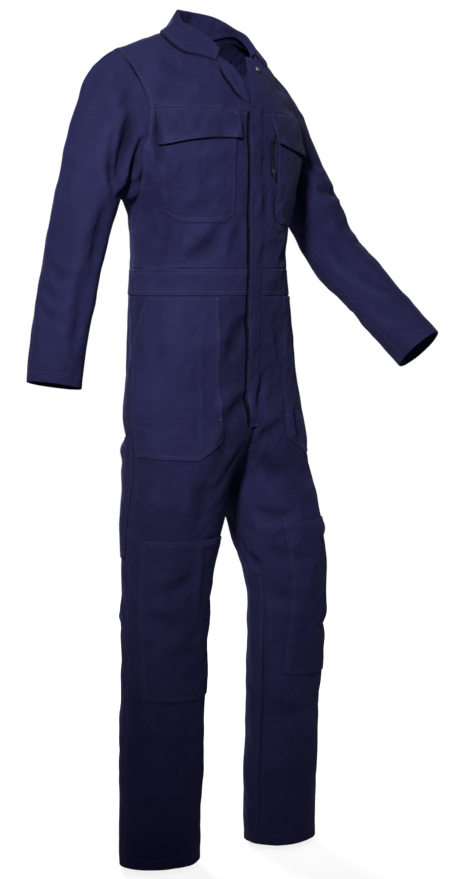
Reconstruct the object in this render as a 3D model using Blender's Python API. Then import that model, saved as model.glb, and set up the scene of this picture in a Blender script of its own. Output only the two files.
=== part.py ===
"""A boiler suit, filled out as if worn, as the pieces of cloth that a maker sews together.

Metres, +Z up. The suit faces -Y and the wearer's right side is at -X. The origin is where the
wearer's shoulders carry it, at the middle of the base of the neck.

Every piece is a wall of cloth on one shared form: the body and its two legs are read from a
table of level sections, the shoulders are a ridge that the top of the body rolls over, and
each sleeve grows out of its armhole. A piece takes its part of that form, a little short of
each seam, and what is sewn on a panel takes the panel's own points and moves them out.
"""
import math
from collections import namedtuple
from functools import lru_cache

import bmesh
import bpy
from mathutils import Matrix, Vector

# ------------------------------------------------------------------ driving sizes
CLOTH = 0.0016            # a wall of twill
SEAM_GAP = 0.0003         # between two pieces at a seam
LAY_GAP = 0.0008          # between a panel and what is sewn on it
RIGHT, LEFT = -1, 1       # the wearer's sides, as signs of X
FRONT, BACK = -1, 1       # the faces of the body, as signs of Y

NECK_HALF = 0.080         # from the middle to where the shoulder seam meets the neck
SHOULDER_HALF = 0.200     # from the middle to the tip of the shoulder seam
TIP_Z = 0.008             # height of the tip of the shoulder seam
SHOULDER_SLOPE = math.tan(math.radians(21))
RIDGE_NECK_Y = 0.030      # the shoulder seam's place from front to back, at the neck
RIDGE_TIP_Y = 0.050       # and at its tip
ROLL_Z = -0.130           # below this the body no longer rolls towards the shoulder
ROLL_POWER = 1.7
LEFT_SHOULDER_BACK = 0.022    # the left shoulder is drawn back

YOKE_Z = -0.100           # seam between yoke and front
UNDERARM_Z = -0.250
WAIST_TOP_Z = -0.381
WAIST_Z = -0.429          # seam between waistband and legs
FLY_END_Z = -0.665
CROTCH_Z = -0.755
HEM_Z = -1.435
WAISTBAND_PROUD = 0.0008  # a waistband is two layers

FOLD_RADIUS = 0.003       # of the collar's turn
LEAF_CLEAR = 0.004        # the collar's leaf stands off the yoke
STAND_BELOW = 0.0025      # the collar's stand starts this far below the neckline
STAND_INSIDE = 0.0026     # and this far inside it
NECK_MIDDLE = Vector((0.0, 0.010, 0.0))

CHEST_FLAP_TOP_Z = YOKE_Z - 0.0012
CHEST_POCKET_INNER = 0.054
CHEST_POCKET_Z = -0.300
CHEST_CORNER = 0.016
CHEST_POCKET_UNDER = 0.012    # how far a chest pocket runs up under its flap's seam
CHEST_FLAP_OVER = 0.002       # how far a flap reaches past its pocket's outer edge
HIP_POCKET_INNER = 0.081
HIP_POCKET_Z = -0.722
HIP_CORNER = 0.038
HIP_CORNER_RISE = 0.034
HIP_POCKET_WIDTH = 0.130
HIP_POCKET_DROP = 0.0015      # its top edge lies this far below the waist seam
HIP_POCKET_RISE = 0.009       # its bottom rises this much towards the side seam
HIP_SEAM_CLEAR = 2.5          # degrees left free beside the side seam
HIP_MOUTH_START = 0.80        # share of its width where the slanted mouth starts
HIP_MOUTH_Z = -0.520          # where the slanted mouth meets the side seam
ZIP_X = (0.0325, 0.0405)
ZIP_Z = (-0.148, -0.214)
STUD_PLACE = (0.0315, -0.021)
STUD_RADIUS = 0.0052
STUD_HEIGHT = 0.0024


# how far out from the middle of the back, as a share, a column meets the neck
NECK_SHARE = math.degrees(math.asin(NECK_HALF / SHOULDER_HALF)) / 90


class Table:
    """Rows of named columns, read smoothly between the values of the first column."""

    def __init__(self, columns, rows):
        self.row = namedtuple("Row", columns)
        self.rows = sorted(self.row(*values) for values in rows)
        self.keys = [row[0] for row in self.rows]
        self.slopes = [self.column_slopes(c) for c in range(len(self.row._fields))]

    def column_slopes(self, column):
        """A slope at each row that never makes the column overshoot."""
        steps = [
            (b[column] - a[column]) / (b[0] - a[0]) for a, b in zip(self.rows, self.rows[1:])
        ]
        inner = [
            0.0 if a * b <= 0 else 2 * a * b / (a + b) for a, b in zip(steps, steps[1:])
        ]
        return [steps[0]] + inner + [steps[-1]]

    def at(self, key):
        key = min(max(key, self.keys[0]), self.keys[-1])
        high = next(i for i, k in enumerate(self.keys) if k >= key)
        high = max(high, 1)
        start, end = self.rows[high - 1], self.rows[high]
        span = end[0] - start[0]
        t = (key - start[0]) / span
        a, b, c, d = (
            (1 + 2 * t) * (1 - t) ** 2, t * (1 - t) ** 2, t * t * (3 - 2 * t), t * t * (t - 1)
        )
        return self.row(*(
            a * start[n] + b * span * self.slopes[n][high - 1]
            + c * end[n] + d * span * self.slopes[n][high]
            for n in range(len(start))
        ))


# The form's level sections. Above the crotch the two halves share the middle plane, and each
# is cut off there; below it they are the two legs, which stand apart and turn outwards.
BODY = Table("z right_x right_y left_x left_y half_width front back power turn", [
    (0.060, 0.000, 0.024, 0.000, 0.024, 0.214, 0.125, 0.095, 2.20, 0),
    (0.000, 0.000, 0.024, 0.000, 0.024, 0.214, 0.129, 0.112, 2.20, 0),
    (-0.100, 0.000, 0.021, 0.000, 0.021, 0.212, 0.133, 0.128, 2.20, 0),
    (-0.170, 0.000, 0.021, 0.000, 0.021, 0.203, 0.134, 0.128, 2.20, 0),
    (-0.250, 0.000, 0.020, 0.000, 0.020, 0.175, 0.132, 0.125, 2.20, 0),
    (-0.290, 0.000, 0.019, 0.000, 0.019, 0.157, 0.131, 0.121, 2.15, 0),
    (-0.340, 0.000, 0.019, 0.000, 0.019, 0.152, 0.131, 0.119, 2.15, 0),
    (-0.381, 0.000, 0.018, 0.000, 0.018, 0.154, 0.130, 0.118, 2.15, 0),
    (-0.429, 0.000, 0.015, 0.000, 0.015, 0.160, 0.125, 0.118, 2.15, 0),
    (-0.520, 0.002, 0.008, 0.002, 0.008, 0.174, 0.115, 0.116, 2.10, 0),
    (-0.600, 0.012, 0.001, 0.012, 0.001, 0.178, 0.106, 0.116, 2.00, 0),
    (-0.660, 0.045, -0.004, 0.045, -0.004, 0.150, 0.104, 0.112, 2.00, 0),
    (-0.700, 0.072, -0.008, 0.072, -0.008, 0.125, 0.100, 0.106, 2.00, 0),
    (-0.750, 0.101, -0.012, 0.101, -0.012, 0.100, 0.095, 0.098, 2.00, 0),
    (-0.800, 0.111, -0.011, 0.111, -0.028, 0.094, 0.091, 0.092, 2.00, 3),
    (-0.873, 0.120, -0.009, 0.120, -0.048, 0.088, 0.083, 0.085, 2.00, 8),
    (-0.980, 0.130, -0.006, 0.130, -0.059, 0.080, 0.069, 0.070, 2.00, 13),
    (-1.085, 0.132, -0.005, 0.132, -0.053, 0.079, 0.067, 0.067, 2.00, 13),
    (-1.210, 0.134, -0.003, 0.134, -0.045, 0.078, 0.065, 0.065, 2.00, 13),
    (-1.340, 0.136, 0.000, 0.136, -0.038, 0.077, 0.063, 0.063, 2.00, 13),
    (-1.435, 0.137, 0.000, 0.137, -0.035, 0.076, 0.062, 0.062, 2.00, 13),
])

# How far from the middle the armhole seam lies, from the underarm up to the shoulder's tip.
ARMHOLE = Table("z x", [
    (-0.250, 0.175), (-0.210, 0.188), (-0.170, 0.195), (-0.100, 0.195), (-0.030, 0.198),
    (0.008, 0.200),
])

# Where the side seam lies round the section: 90 is straight out to the side.
SIDE_SEAM = Table("z degrees", [
    (-0.250, 90), (-0.300, 97), (-0.381, 104), (-0.429, 104), (-0.600, 99), (-0.800, 93),
    (-1.000, 88), (-1.435, 88),
])

# The open edge of each front and then its neckline, from the yoke seam (0) up to the neck (1).
NECK_EDGE = Table("v right_x right_z left_x left_z", [
    (0.000, 0.0004, -0.100, 0.0004, -0.100),
    (0.125, 0.014, -0.078, 0.003, -0.078),
    (0.250, 0.0165, -0.056, 0.008, -0.056),
    (0.375, 0.021, -0.030, 0.015, -0.030),
    (0.500, 0.034, -0.007, 0.024, -0.007),
    (0.625, 0.046, 0.002, 0.042, 0.001),
    (0.750, 0.058, 0.014, 0.058, 0.014),
    (0.875, 0.070, 0.034, 0.070, 0.034),
    (1.000, NECK_HALF, TIP_Z + SHOULDER_SLOPE * (SHOULDER_HALF - NECK_HALF),
     NECK_HALF, TIP_Z + SHOULDER_SLOPE * (SHOULDER_HALF - NECK_HALF)),
])

# The turned-out band along the right front's open edge, from its foot up to the collar.
TURNED_BAND = Table("v fold_x fold_z outer_x outer_z", [
    (0.00, 0.0150, -0.082, 0.0210, -0.083),
    (0.15, 0.0158, -0.072, 0.0330, -0.074),
    (0.45, 0.0172, -0.050, 0.0470, -0.050),
    (0.75, 0.0225, -0.027, 0.0540, -0.029),
    (1.00, 0.0355, -0.0065, 0.0545, -0.0165),
])

# The collar, from its right end (-1) round the back of the neck to its left end (1). Its
# neckline and the edge of its leaf lie so many degrees forward of the shoulder ridge.
COLLAR = Table("t neck_x neck_roll leaf_x leaf_roll fold_x fold_y fold_z", [
    (-1.00, -0.046, 47.9, -0.059, 51.5, -0.0435, -0.0585, 0.0135),
    (-0.92, -0.052, 44.9, -0.085, 45.0, -0.049, -0.051, 0.0235),
    (-0.82, -0.062, 38.0, -0.110, 38.0, -0.057, -0.039, 0.0370),
    (-0.68, -0.072, 25.0, -0.116, 25.0, -0.066, -0.019, 0.0530),
    (-0.50, -0.080, 0.0, -0.102, 0.0, -0.063, 0.014, 0.0660),
    (-0.28, -0.052, -25.0, -0.066, -31.0, -0.050, 0.042, 0.0930),
    (0.00, 0.000, -35.0, 0.000, -43.0, 0.000, 0.060, 0.0950),
    (0.28, 0.052, -25.0, 0.066, -31.0, 0.047, 0.041, 0.0860),
    (0.50, 0.080, 0.0, 0.102, 0.0, 0.063, 0.016, 0.0680),
    (0.68, 0.072, 25.0, 0.116, 25.0, 0.066, -0.016, 0.0510),
    (0.82, 0.062, 38.0, 0.112, 38.0, 0.059, -0.038, 0.0340),
    (0.92, 0.054, 43.5, 0.101, 44.5, 0.053, -0.050, 0.0215),
    (1.00, 0.048, 47.0, 0.080, 50.5, 0.0465, -0.0580, 0.0130),
])

# A chest pocket's outer edge, and its flap's hem from the inner (0) to the outer end (1).
CHEST_POCKET_EDGE = Table("z x", [
    (-0.302, 0.1485), (-0.280, 0.154), (-0.250, 0.1625), (-0.200, 0.175), (-0.150, 0.183),
    (-0.100, 0.186),
])
CHEST_FLAP_HEM = Table("u right_z left_z", [
    (0.0, -0.149, -0.154), (0.3, -0.149, -0.161), (0.6, -0.153, -0.166), (1.0, -0.165, -0.172),
])
CHEST_FLAP_INNER = Table("z right_x left_x", [
    (-0.160, 0.046, 0.049), (-0.140, 0.046, 0.041), (-0.100, 0.045, 0.029),
])

# The sleeves' sections, from a little below the armhole to the cuff (1).
SLEEVE = Table("s right_x right_y right_z left_x left_y left_z radius", [
    (0.30, -0.258, 0.056, -0.250, 0.262, 0.018, -0.235, 0.0570),
    (0.50, -0.282, 0.064, -0.350, 0.312, -0.004, -0.333, 0.0525),
    (0.75, -0.306, 0.067, -0.467, 0.346, -0.085, -0.432, 0.0505),
    (1.00, -0.328, 0.066, -0.585, 0.380, -0.172, -0.532, 0.0490),
])

# The pockets on the legs: the angles of their two upright edges, from bottom to top.
KNEE_POCKETS = {
    RIGHT: Table("z inner outer", [(-1.1375, -65.5, 55.5), (-0.8575, -50.5, 70.5)]),
    LEFT: Table("z inner outer", [(-1.1180, -56.5, 64.5), (-0.8395, -40.5, 80.5)]),
}
RULE_POCKET = Table("z inner outer", [(-0.894, 98, 152), (-0.680, 98, 152)])

# The fly strip's two edges, from its foot up to the collar.
FLY = Table("z lap_x far_x", [
    (-0.665, -0.0170, 0.0190), (-0.600, -0.0205, 0.0190), (-0.130, -0.0215, 0.0190),
    (-0.083, -0.0125, 0.0250), (-0.060, -0.0050, 0.0320), (-0.034, -0.0010, 0.0370),
    (-0.020, 0.0040, 0.0405), (0.001, 0.0120, 0.0435),
])


# ------------------------------------------------------------------ the form
def power_pair(degrees, power):
    """Sine and cosine of a section that is a little squarer than an ellipse."""
    sine, cosine = math.sin(math.radians(degrees)), math.cos(math.radians(degrees))
    return tuple(math.copysign(abs(value) ** (2 / power), value) for value in (sine, cosine))


@lru_cache(maxsize=None)
def section(side, z):
    """Centre, half width, depths, power and turn of one half's level section."""
    row = BODY.at(z)
    x, y = (row.right_x, row.right_y) if side == RIGHT else (row.left_x, row.left_y)
    return x, y, row.half_width, row.front, row.back, row.power, row.turn


def ridge_z(x):
    """Height of the shoulder ridge, which runs on up into the neck."""
    return TIP_Z + SHOULDER_SLOPE * (SHOULDER_HALF - abs(x))


def ridge_y(x):
    share = (abs(x) - NECK_HALF) / (SHOULDER_HALF - NECK_HALF)
    return RIDGE_NECK_Y + (RIDGE_TIP_Y - RIDGE_NECK_Y) * max(share, 0.0)


def smooth(value, low, high):
    share = min(max((value - low) / (high - low), 0.0), 1.0)
    return share * share * (3 - 2 * share)


def chest_point(x, z, face):
    """Point of the upper body at x and z, on its front or back."""
    drawn_back = LEFT_SHOULDER_BACK * smooth(x, 0.030, 0.190) * smooth(z, UNDERARM_Z, -0.04)
    _, y, half_width, front, back, power, _ = section(LEFT, z)
    depth = front if face == FRONT else back
    share = min(abs(x) / half_width, 1.0)
    outer_y = y + face * depth * (1 - share ** power) ** (1 / power)
    if z <= ROLL_Z:
        return Vector((x, outer_y + drawn_back, z))
    rise = min((z - ROLL_Z) / (ridge_z(x) - ROLL_Z), 1.0)
    spread = (1 - rise ** ROLL_POWER) ** (1 / ROLL_POWER)
    return Vector((x, ridge_y(x) + (outer_y - ridge_y(x)) * spread + drawn_back, z))


def rolled_point(x, roll):
    """Point of the upper body so many degrees forward of the shoulder ridge."""
    z = ROLL_Z + (ridge_z(x) - ROLL_Z) * math.cos(math.radians(roll))
    return chest_point(x, z, FRONT if roll > 0 else BACK)


def leg_point(side, degrees, z):
    """Point of a half's section: 0 is its front, 90 its outer side, 180 its back."""
    x, y, half_width, front, back, power, turn = section(side, z)
    sine, cosine = power_pair(degrees, power)
    across, along = half_width * sine, -cosine * (front if cosine > 0 else back)
    turned = Matrix.Rotation(math.radians(turn), 2) @ Vector((across, along))
    return Vector((side * (x + turned.x), y + turned.y, z))


def middle_degrees(side, z, gap=SEAM_GAP):
    """How far inwards a half's section reaches: to the middle plane, or to the inseam."""
    x, _, half_width, _, _, power, _ = section(side, z)
    share = min(max((x - gap) / half_width, -1.0), 1.0)
    return -math.degrees(math.asin(math.copysign(abs(share) ** (power / 2), share)))


def half_degrees(side, face, u, z):
    """Degrees round a half's section, from its middle (0) to the side seam (1)."""
    start, seam = middle_degrees(side, z), SIDE_SEAM.at(z).degrees
    if face == FRONT:
        return start + (seam - start) * u
    return 180 - (start + (180 - seam - start) * u)


def degrees_at_x(side, x, z):
    """How far round the front of a half's section a point at x lies."""
    centre_x, _, half_width, _, _, power, _ = section(side, z)
    share = min(max((side * x - centre_x) / half_width, -1.0), 1.0)
    return math.degrees(math.asin(math.copysign(abs(share) ** (power / 2), share)))


def front_point(x, z):
    """Point of the suit's front at x, from the neck to the crotch."""
    if z > WAIST_Z:
        return chest_point(x, z, FRONT)
    side = LEFT if x > 0 else RIGHT
    return leg_point(side, degrees_at_x(side, x, z), z)


def shoulder_rise(v):
    """How far up the roll of the shoulder a row lies, from the yoke seam (0) to the ridge."""
    lowest = math.asin((YOKE_Z - ROLL_Z) / (TIP_Z - ROLL_Z))
    return math.sin(lowest + (math.pi / 2 - lowest) * v)


def armhole_z(v):
    return ROLL_Z + (TIP_Z - ROLL_Z) * shoulder_rise(v)


def outer_x(z):
    """Where a torso panel ends: at the armhole, or at the side seam below it."""
    return ARMHOLE.at(z).x if z > UNDERARM_Z else section(LEFT, z)[2]


# ------------------------------------------------------------------ panels as functions
def front_panel(side):
    """A front from its yoke seam (v = 0) down to the waistband (v = 1)."""
    def point(u, v):
        z = YOKE_Z + (WAIST_TOP_Z - YOKE_Z) * v
        if z < UNDERARM_Z:
            start = middle_degrees(side, z)
            return leg_point(side, start + (SIDE_SEAM.at(z).degrees - start) * u, z)
        edge = outer_x(z)
        start = math.asin(NECK_EDGE.rows[0].right_x / edge)
        x = edge * math.sin(start + (math.pi / 2 - start) * u)
        return chest_point(side * x, z, FRONT)
    return point


def yoke_panel(side):
    """A front yoke from its seam with the front (v = 0) up to the shoulder seam (v = 1)."""
    def point(u, v):
        edge = NECK_EDGE.at(v)
        x0, z0 = (edge.right_x, edge.right_z) if side == RIGHT else (edge.left_x, edge.left_z)
        z1 = armhole_z(v)
        x1 = outer_x(z1)
        start = math.asin(x0 / x1)
        x = x1 * math.sin(start + (math.pi / 2 - start) * u)
        z = z0 + (z1 - z0) * (x - x0) / (x1 - x0)
        return chest_point(side * x, z, FRONT)
    return point


def back_panel():
    """The back from the waistband (v = 0) up to the yoke's level (1) and the shoulders (2)."""
    def point(u, v):
        degrees = 90 * u
        if v <= 1:
            z = WAIST_TOP_Z + (YOKE_Z - WAIST_TOP_Z) * v
            if z < UNDERARM_Z:
                side = LEFT if u > 0 else RIGHT
                return leg_point(side, 180 - (180 - SIDE_SEAM.at(z).degrees) * abs(u), z)
            return chest_point(outer_x(z) * math.sin(math.radians(degrees)), z, BACK)
        sine = math.sin(math.radians(degrees))
        top = Vector((sine * SHOULDER_HALF, 0, ridge_z(sine * SHOULDER_HALF)))
        if abs(u) < NECK_SHARE:
            row = COLLAR.at(0.5 * u / NECK_SHARE)
            top = rolled_point(row.neck_x, min(row.neck_roll, 0))
        rise = (shoulder_rise(v - 1) - shoulder_rise(0)) / (1 - shoulder_rise(0))
        x = outer_x(armhole_z(v - 1)) * sine + (top.x - sine * SHOULDER_HALF) * rise
        top_z = top.z
        return chest_point(x, YOKE_Z + (top_z - YOKE_Z) * rise, BACK)
    return point


def band_panel(side, face):
    """Half of the waistband: from the middle (u = 0) to the side seam (u = 1)."""
    def point(u, v):
        z = WAIST_TOP_Z + (WAIST_Z - WAIST_TOP_Z) * v
        return leg_point(side, half_degrees(side, face, u, z), z)
    return point


def leg_panel(side, face):
    """A leg's front or back: from the middle and the inseam (u = 0) to the side seam."""
    def point(u, v):
        z = WAIST_Z + (HEM_Z - WAIST_Z) * v
        return leg_point(side, half_degrees(side, face, u, z), z)
    return point


# ------------------------------------------------------------------ sleeves
YOKE_ROWS = 8
COLUMNS = 7                   # from the neck to the shoulder's tip, and across each front
UNDER_YOKE_ROWS = 5
SLEEVE_REACH_TOP, SLEEVE_REACH_UNDER = 1.05, 0.30
SLEEVE_HEAD_FALL = {RIGHT: -0.30, LEFT: -0.50}
SLEEVE_START = 0.30


def armhole_levels():
    """The levels at which the panels and the sleeve share their points, tip to underarm."""
    yoke = [armhole_z(1 - i / YOKE_ROWS) for i in range(YOKE_ROWS)]
    step = (YOKE_Z - UNDERARM_Z) / UNDER_YOKE_ROWS
    return yoke + [YOKE_Z - step * i for i in range(UNDER_YOKE_ROWS + 1)]


def sleeve_axis(side, s):
    row = SLEEVE.at(s)
    if side == RIGHT:
        return Vector((row.right_x, row.right_y, row.right_z)), row.radius
    return Vector((row.left_x, row.left_y, row.left_z)), row.radius


def sleeve_ring_point(side, degrees, s):
    """Point of a sleeve's section: 0 is its outer side, 90 its front, 180 its underside."""
    centre, radius = sleeve_axis(side, s)
    step = 0.02
    ahead, behind = sleeve_axis(side, min(s + step, 1))[0], sleeve_axis(side, s - step)[0]
    if s - step < SLEEVE_START:
        behind = sleeve_axis(side, SLEEVE_START)[0]
        ahead = sleeve_axis(side, SLEEVE_START + 2 * step)[0]
    along = (ahead - behind).normalized()
    outer = Vector((side, 0.1, 0.35))
    outer = (outer - along * outer.dot(along)).normalized()
    front = outer.cross(along) * -side
    angle = math.radians(degrees)
    return centre + radius * (math.cos(angle) * outer + math.sin(angle) * front), along


def armhole_point(side, turn):
    """Point of the armhole seam, at a turn from its tip (0) by the front to the underarm (1)
    and by the back to the tip again (2)."""
    levels = armhole_levels()
    share = turn if turn <= 1 else 2 - turn
    place = share * (len(levels) - 1)
    low = min(int(place), len(levels) - 2)
    z = levels[low] + (levels[low + 1] - levels[low]) * (place - low)
    return chest_point(side * outer_x(z), z, FRONT if turn <= 1 else BACK)


def sleeve_panel(side):
    """A sleeve: u runs round it from its outer side by the front, v from armhole to cuff."""
    def point(u, v):
        turn = 2 * (u % 1.0)
        degrees = 180 * turn
        if v >= SLEEVE_START:
            return sleeve_ring_point(side, degrees, v)[0]
        start = armhole_point(side, turn)
        end, along = sleeve_ring_point(side, degrees, SLEEVE_START)
        span = (end - start).length
        topness = (1 + math.cos(math.radians(degrees))) / 2
        reach = SLEEVE_REACH_UNDER + (SLEEVE_REACH_TOP - SLEEVE_REACH_UNDER) * topness
        leave = Vector((side, 0, SLEEVE_HEAD_FALL[side])).normalized() * span * reach
        leave += along * span * (1 - topness)
        arrive = along * span
        t = v / SLEEVE_START
        return (
            start * (1 + 2 * t) * (1 - t) ** 2 + leave * t * (1 - t) ** 2
            + end * t * t * (3 - 2 * t) + arrive * t * t * (t - 1)
        )
    return point


# ------------------------------------------------------------------ sewn-on pieces
def fly_strip():
    """The strip over the opening: u from its lapped edge to its sewn one, v downwards."""
    def point(u, v):
        z = FLY.rows[-1].z + (FLY_END_Z - FLY.rows[-1].z) * v
        row = FLY.at(z)
        return front_point(row.lap_x + (row.far_x - row.lap_x) * u, z)
    return point


def turned_band():
    """The right front's turned-out edge: u from the fold outwards, v upwards."""
    def point(u, v):
        row = TURNED_BAND.at(v)
        x = row.fold_x + (row.outer_x - row.fold_x) * u
        z = row.fold_z + (row.outer_z - row.fold_z) * u
        return chest_point(-x, z, FRONT)
    return point


def chest_pocket(side):
    """A chest pocket: u from its inner to its outer edge, v down to a bottom with cut corners."""
    def point(u, v):
        width = CHEST_POCKET_EDGE.at(CHEST_POCKET_Z).x - CHEST_POCKET_INNER
        cut = max(CHEST_CORNER - width * min(u, 1 - u), 0.0)
        top = CHEST_FLAP_TOP_Z - CHEST_POCKET_UNDER
        z = top + (CHEST_POCKET_Z + cut - top) * v
        outer = CHEST_POCKET_EDGE.at(z).x
        return chest_point(side * (CHEST_POCKET_INNER + (outer - CHEST_POCKET_INNER) * u), z, FRONT)
    return point


def chest_flap(side):
    """A chest pocket's flap: u from its inner to its outer end, v down to its hem."""
    def point(u, v):
        hem = CHEST_FLAP_HEM.at(u)
        low = hem.right_z if side == RIGHT else hem.left_z
        z = CHEST_FLAP_TOP_Z + (low - CHEST_FLAP_TOP_Z) * v
        inner_row = CHEST_FLAP_INNER.at(z)
        inner = inner_row.right_x if side == RIGHT else inner_row.left_x
        outer = CHEST_POCKET_EDGE.at(z).x + CHEST_FLAP_OVER
        return chest_point(side * (inner + (outer - inner) * u), z, FRONT)
    return point


def zip_strip():
    def point(u, v):
        x = ZIP_X[0] + (ZIP_X[1] - ZIP_X[0]) * u
        return chest_point(x, ZIP_Z[0] + (ZIP_Z[1] - ZIP_Z[0]) * v, FRONT)
    return point


def hip_pocket(side):
    """A hip pocket: u from its inner edge to the side seam, v from its top to its bottom."""
    def point(u, v):
        mouth = min(max((u - HIP_MOUTH_START) / (1 - HIP_MOUTH_START), 0.0), 1.0)
        top = WAIST_Z - HIP_POCKET_DROP + (HIP_MOUTH_Z - WAIST_Z) * mouth
        cut = max(1 - u * HIP_POCKET_WIDTH / HIP_CORNER, 0.0)
        bottom = HIP_POCKET_Z + HIP_POCKET_RISE * u + HIP_CORNER_RISE * cut
        z = top + (bottom - top) * v
        inner = degrees_at_x(side, side * HIP_POCKET_INNER, z)
        outer = SIDE_SEAM.at(z).degrees - HIP_SEAM_CLEAR
        return leg_point(side, inner + (outer - inner) * u, z)
    return point


def leg_patch(side, edges):
    """A plain pocket on a leg: u from its first upright edge to its second, v downwards."""
    def point(u, v):
        z = edges.rows[-1].z + (edges.rows[0].z - edges.rows[-1].z) * v
        row = edges.at(z)
        return leg_point(side, row.inner + (row.outer - row.inner) * u, z)
    return point


# ------------------------------------------------------------------ collar
def rolled_normal(x, roll):
    step_x, step_roll = 0.002, 2.0
    across = rolled_point(x + step_x, roll) - rolled_point(x - step_x, roll)
    forward = rolled_point(x, roll + step_roll) - rolled_point(x, roll - step_roll)
    return forward.cross(across).normalized()


def collar_profile(t):
    """The collar's section at t: up its stand, over the fold and down its leaf."""
    row = COLLAR.at(t)
    edge = rolled_point(row.neck_x, row.neck_roll)
    inwards = (NECK_MIDDLE - edge) * Vector((1, 1, 0))
    foot = edge + inwards.normalized() * (2 * CLOTH + STAND_INSIDE)
    foot.z -= STAND_BELOW
    tip = rolled_point(row.leaf_x, row.leaf_roll)
    tip += rolled_normal(row.leaf_x, row.leaf_roll) * LEAF_CLEAR
    top = Vector((row.fold_x, row.fold_y, row.fold_z))
    up = ((top - foot).normalized() + (top - tip).normalized() * 0.6).normalized()
    out = tip - foot
    out = (out - up * out.dot(up)).normalized()
    centre = top - up * FOLD_RADIUS
    arc = [
        centre - out * FOLD_RADIUS * math.cos(a) + up * FOLD_RADIUS * math.sin(a)
        for a in (math.pi * i / 4 for i in range(5))
    ]
    stand = [foot, foot.lerp(arc[0], 0.55)]
    leaf = [arc[-1].lerp(tip, 0.35), arc[-1].lerp(tip, 0.7), tip]
    return stand + arc + leaf


def collar_grid(columns):
    profiles = [collar_profile(t) for t in columns]
    points = [list(row) for row in zip(*profiles)]
    rows, count = len(points), len(columns)
    normals = []
    for r in range(rows):
        normal_row = []
        for c in range(count):
            across = points[r][min(c + 1, count - 1)] - points[r][max(c - 1, 0)]
            down = points[min(r + 1, rows - 1)][c] - points[max(r - 1, 0)][c]
            normal_row.append(across.cross(down).normalized())
        normals.append(normal_row)
    return points, normals


# ------------------------------------------------------------------ cloth
def normal_at(point, u, v, outward, around=False, low=0.0, high=1.0):
    """The form's outward normal where a panel's function has u and v."""
    step = 1e-3
    u0, u1 = (u - step, u + step) if around else (max(u - step, low), min(u + step, high))
    v0, v1 = max(v - step, 0.0), min(v + step, point.v_end)
    across = point(u1, v) - point(u0, v)
    down = point(u, v1) - point(u, v0)
    return across.cross(down).normalized() * outward


def spread(start, end, count):
    return [start + (end - start) * i / count for i in range(count + 1)]


def lay_out(point, us, vs, outward, v_end=1.0, around=False, low=0.0):
    """Points and normals of a panel's function on a grid; rows follow v, columns follow u."""
    def measured(u, v):
        return point(u, v)
    measured.v_end = v_end
    points = [[point(u, v) for u in us] for v in vs]
    normals = [[normal_at(measured, u, v, outward, around, low) for u in us] for v in vs]
    return points, normals


def clear_of_seams(points, gap, closed=False, sides="tblr"):
    """Draw a grid's edges in by half a seam's gap."""
    def toward(a, b):
        return a + (b - a).normalized() * gap
    rows = [list(row) for row in points]
    if "t" in sides:
        rows[0] = [toward(a, b) for a, b in zip(points[0], points[1])]
    if "b" in sides:
        rows[-1] = [toward(a, b) for a, b in zip(points[-1], points[-2])]
    if closed:
        return rows
    for row in rows:
        first, last = row[0], row[-1]
        if "l" in sides:
            row[0] = toward(first, row[1])
        if "r" in sides:
            row[-1] = toward(last, row[-2])
    return rows


def wall(name, points, normals, out=0.0, thickness=CLOTH, closed=False):
    """A closed wall of cloth: its outer skin is moved out, its inner one lies behind it."""
    mesh = bmesh.new()
    skins = []
    for offset in (out, out - thickness):
        skins.append([
            [mesh.verts.new(p + n * offset) for p, n in zip(row, normal_row)]
            for row, normal_row in zip(points, normals)
        ])
    rows, columns = len(points), len(points[0])
    loop = columns if closed else columns - 1
    for r in range(rows - 1):
        for c in range(loop):
            d = (c + 1) % columns
            for skin in skins:
                mesh.faces.new((skin[r][c], skin[r][d], skin[r + 1][d], skin[r + 1][c]))
    outer, inner = skins
    for r in (0, rows - 1):
        for c in range(loop):
            d = (c + 1) % columns
            mesh.faces.new((outer[r][c], outer[r][d], inner[r][d], inner[r][c]))
    if not closed:
        for c in (0, columns - 1):
            for r in range(rows - 1):
                mesh.faces.new((outer[r][c], outer[r + 1][c], inner[r + 1][c], inner[r][c]))
    bmesh.ops.recalc_face_normals(mesh, faces=mesh.faces)
    bmesh.ops.triangulate(mesh, faces=mesh.faces)
    data = bpy.data.meshes.new(name)
    mesh.to_mesh(data)
    mesh.free()
    return data


# ------------------------------------------------------------------ scene
def clear_scene():
    for item in list(bpy.data.objects):
        bpy.data.objects.remove(item, do_unlink=True)


def make_material(name, colour, roughness, metallic=0.0):
    material = bpy.data.materials.new(name)
    material.use_nodes = True
    shader = material.node_tree.nodes["Principled BSDF"]
    shader.inputs["Base Color"].default_value = (*colour, 1.0)
    shader.inputs["Roughness"].default_value = roughness
    shader.inputs["Metallic"].default_value = metallic
    return material


def add_object(name, data, material, collection):
    data.materials.append(material)
    for polygon in data.polygons:
        polygon.use_smooth = True
    data.set_sharp_from_angle(angle=math.radians(40))
    item = bpy.data.objects.new(name, data)
    collection.objects.link(item)
    return item


SIDE_NAMES = {RIGHT: "right", LEFT: "left"}
HALF_GAP = SEAM_GAP * 0.6


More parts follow.
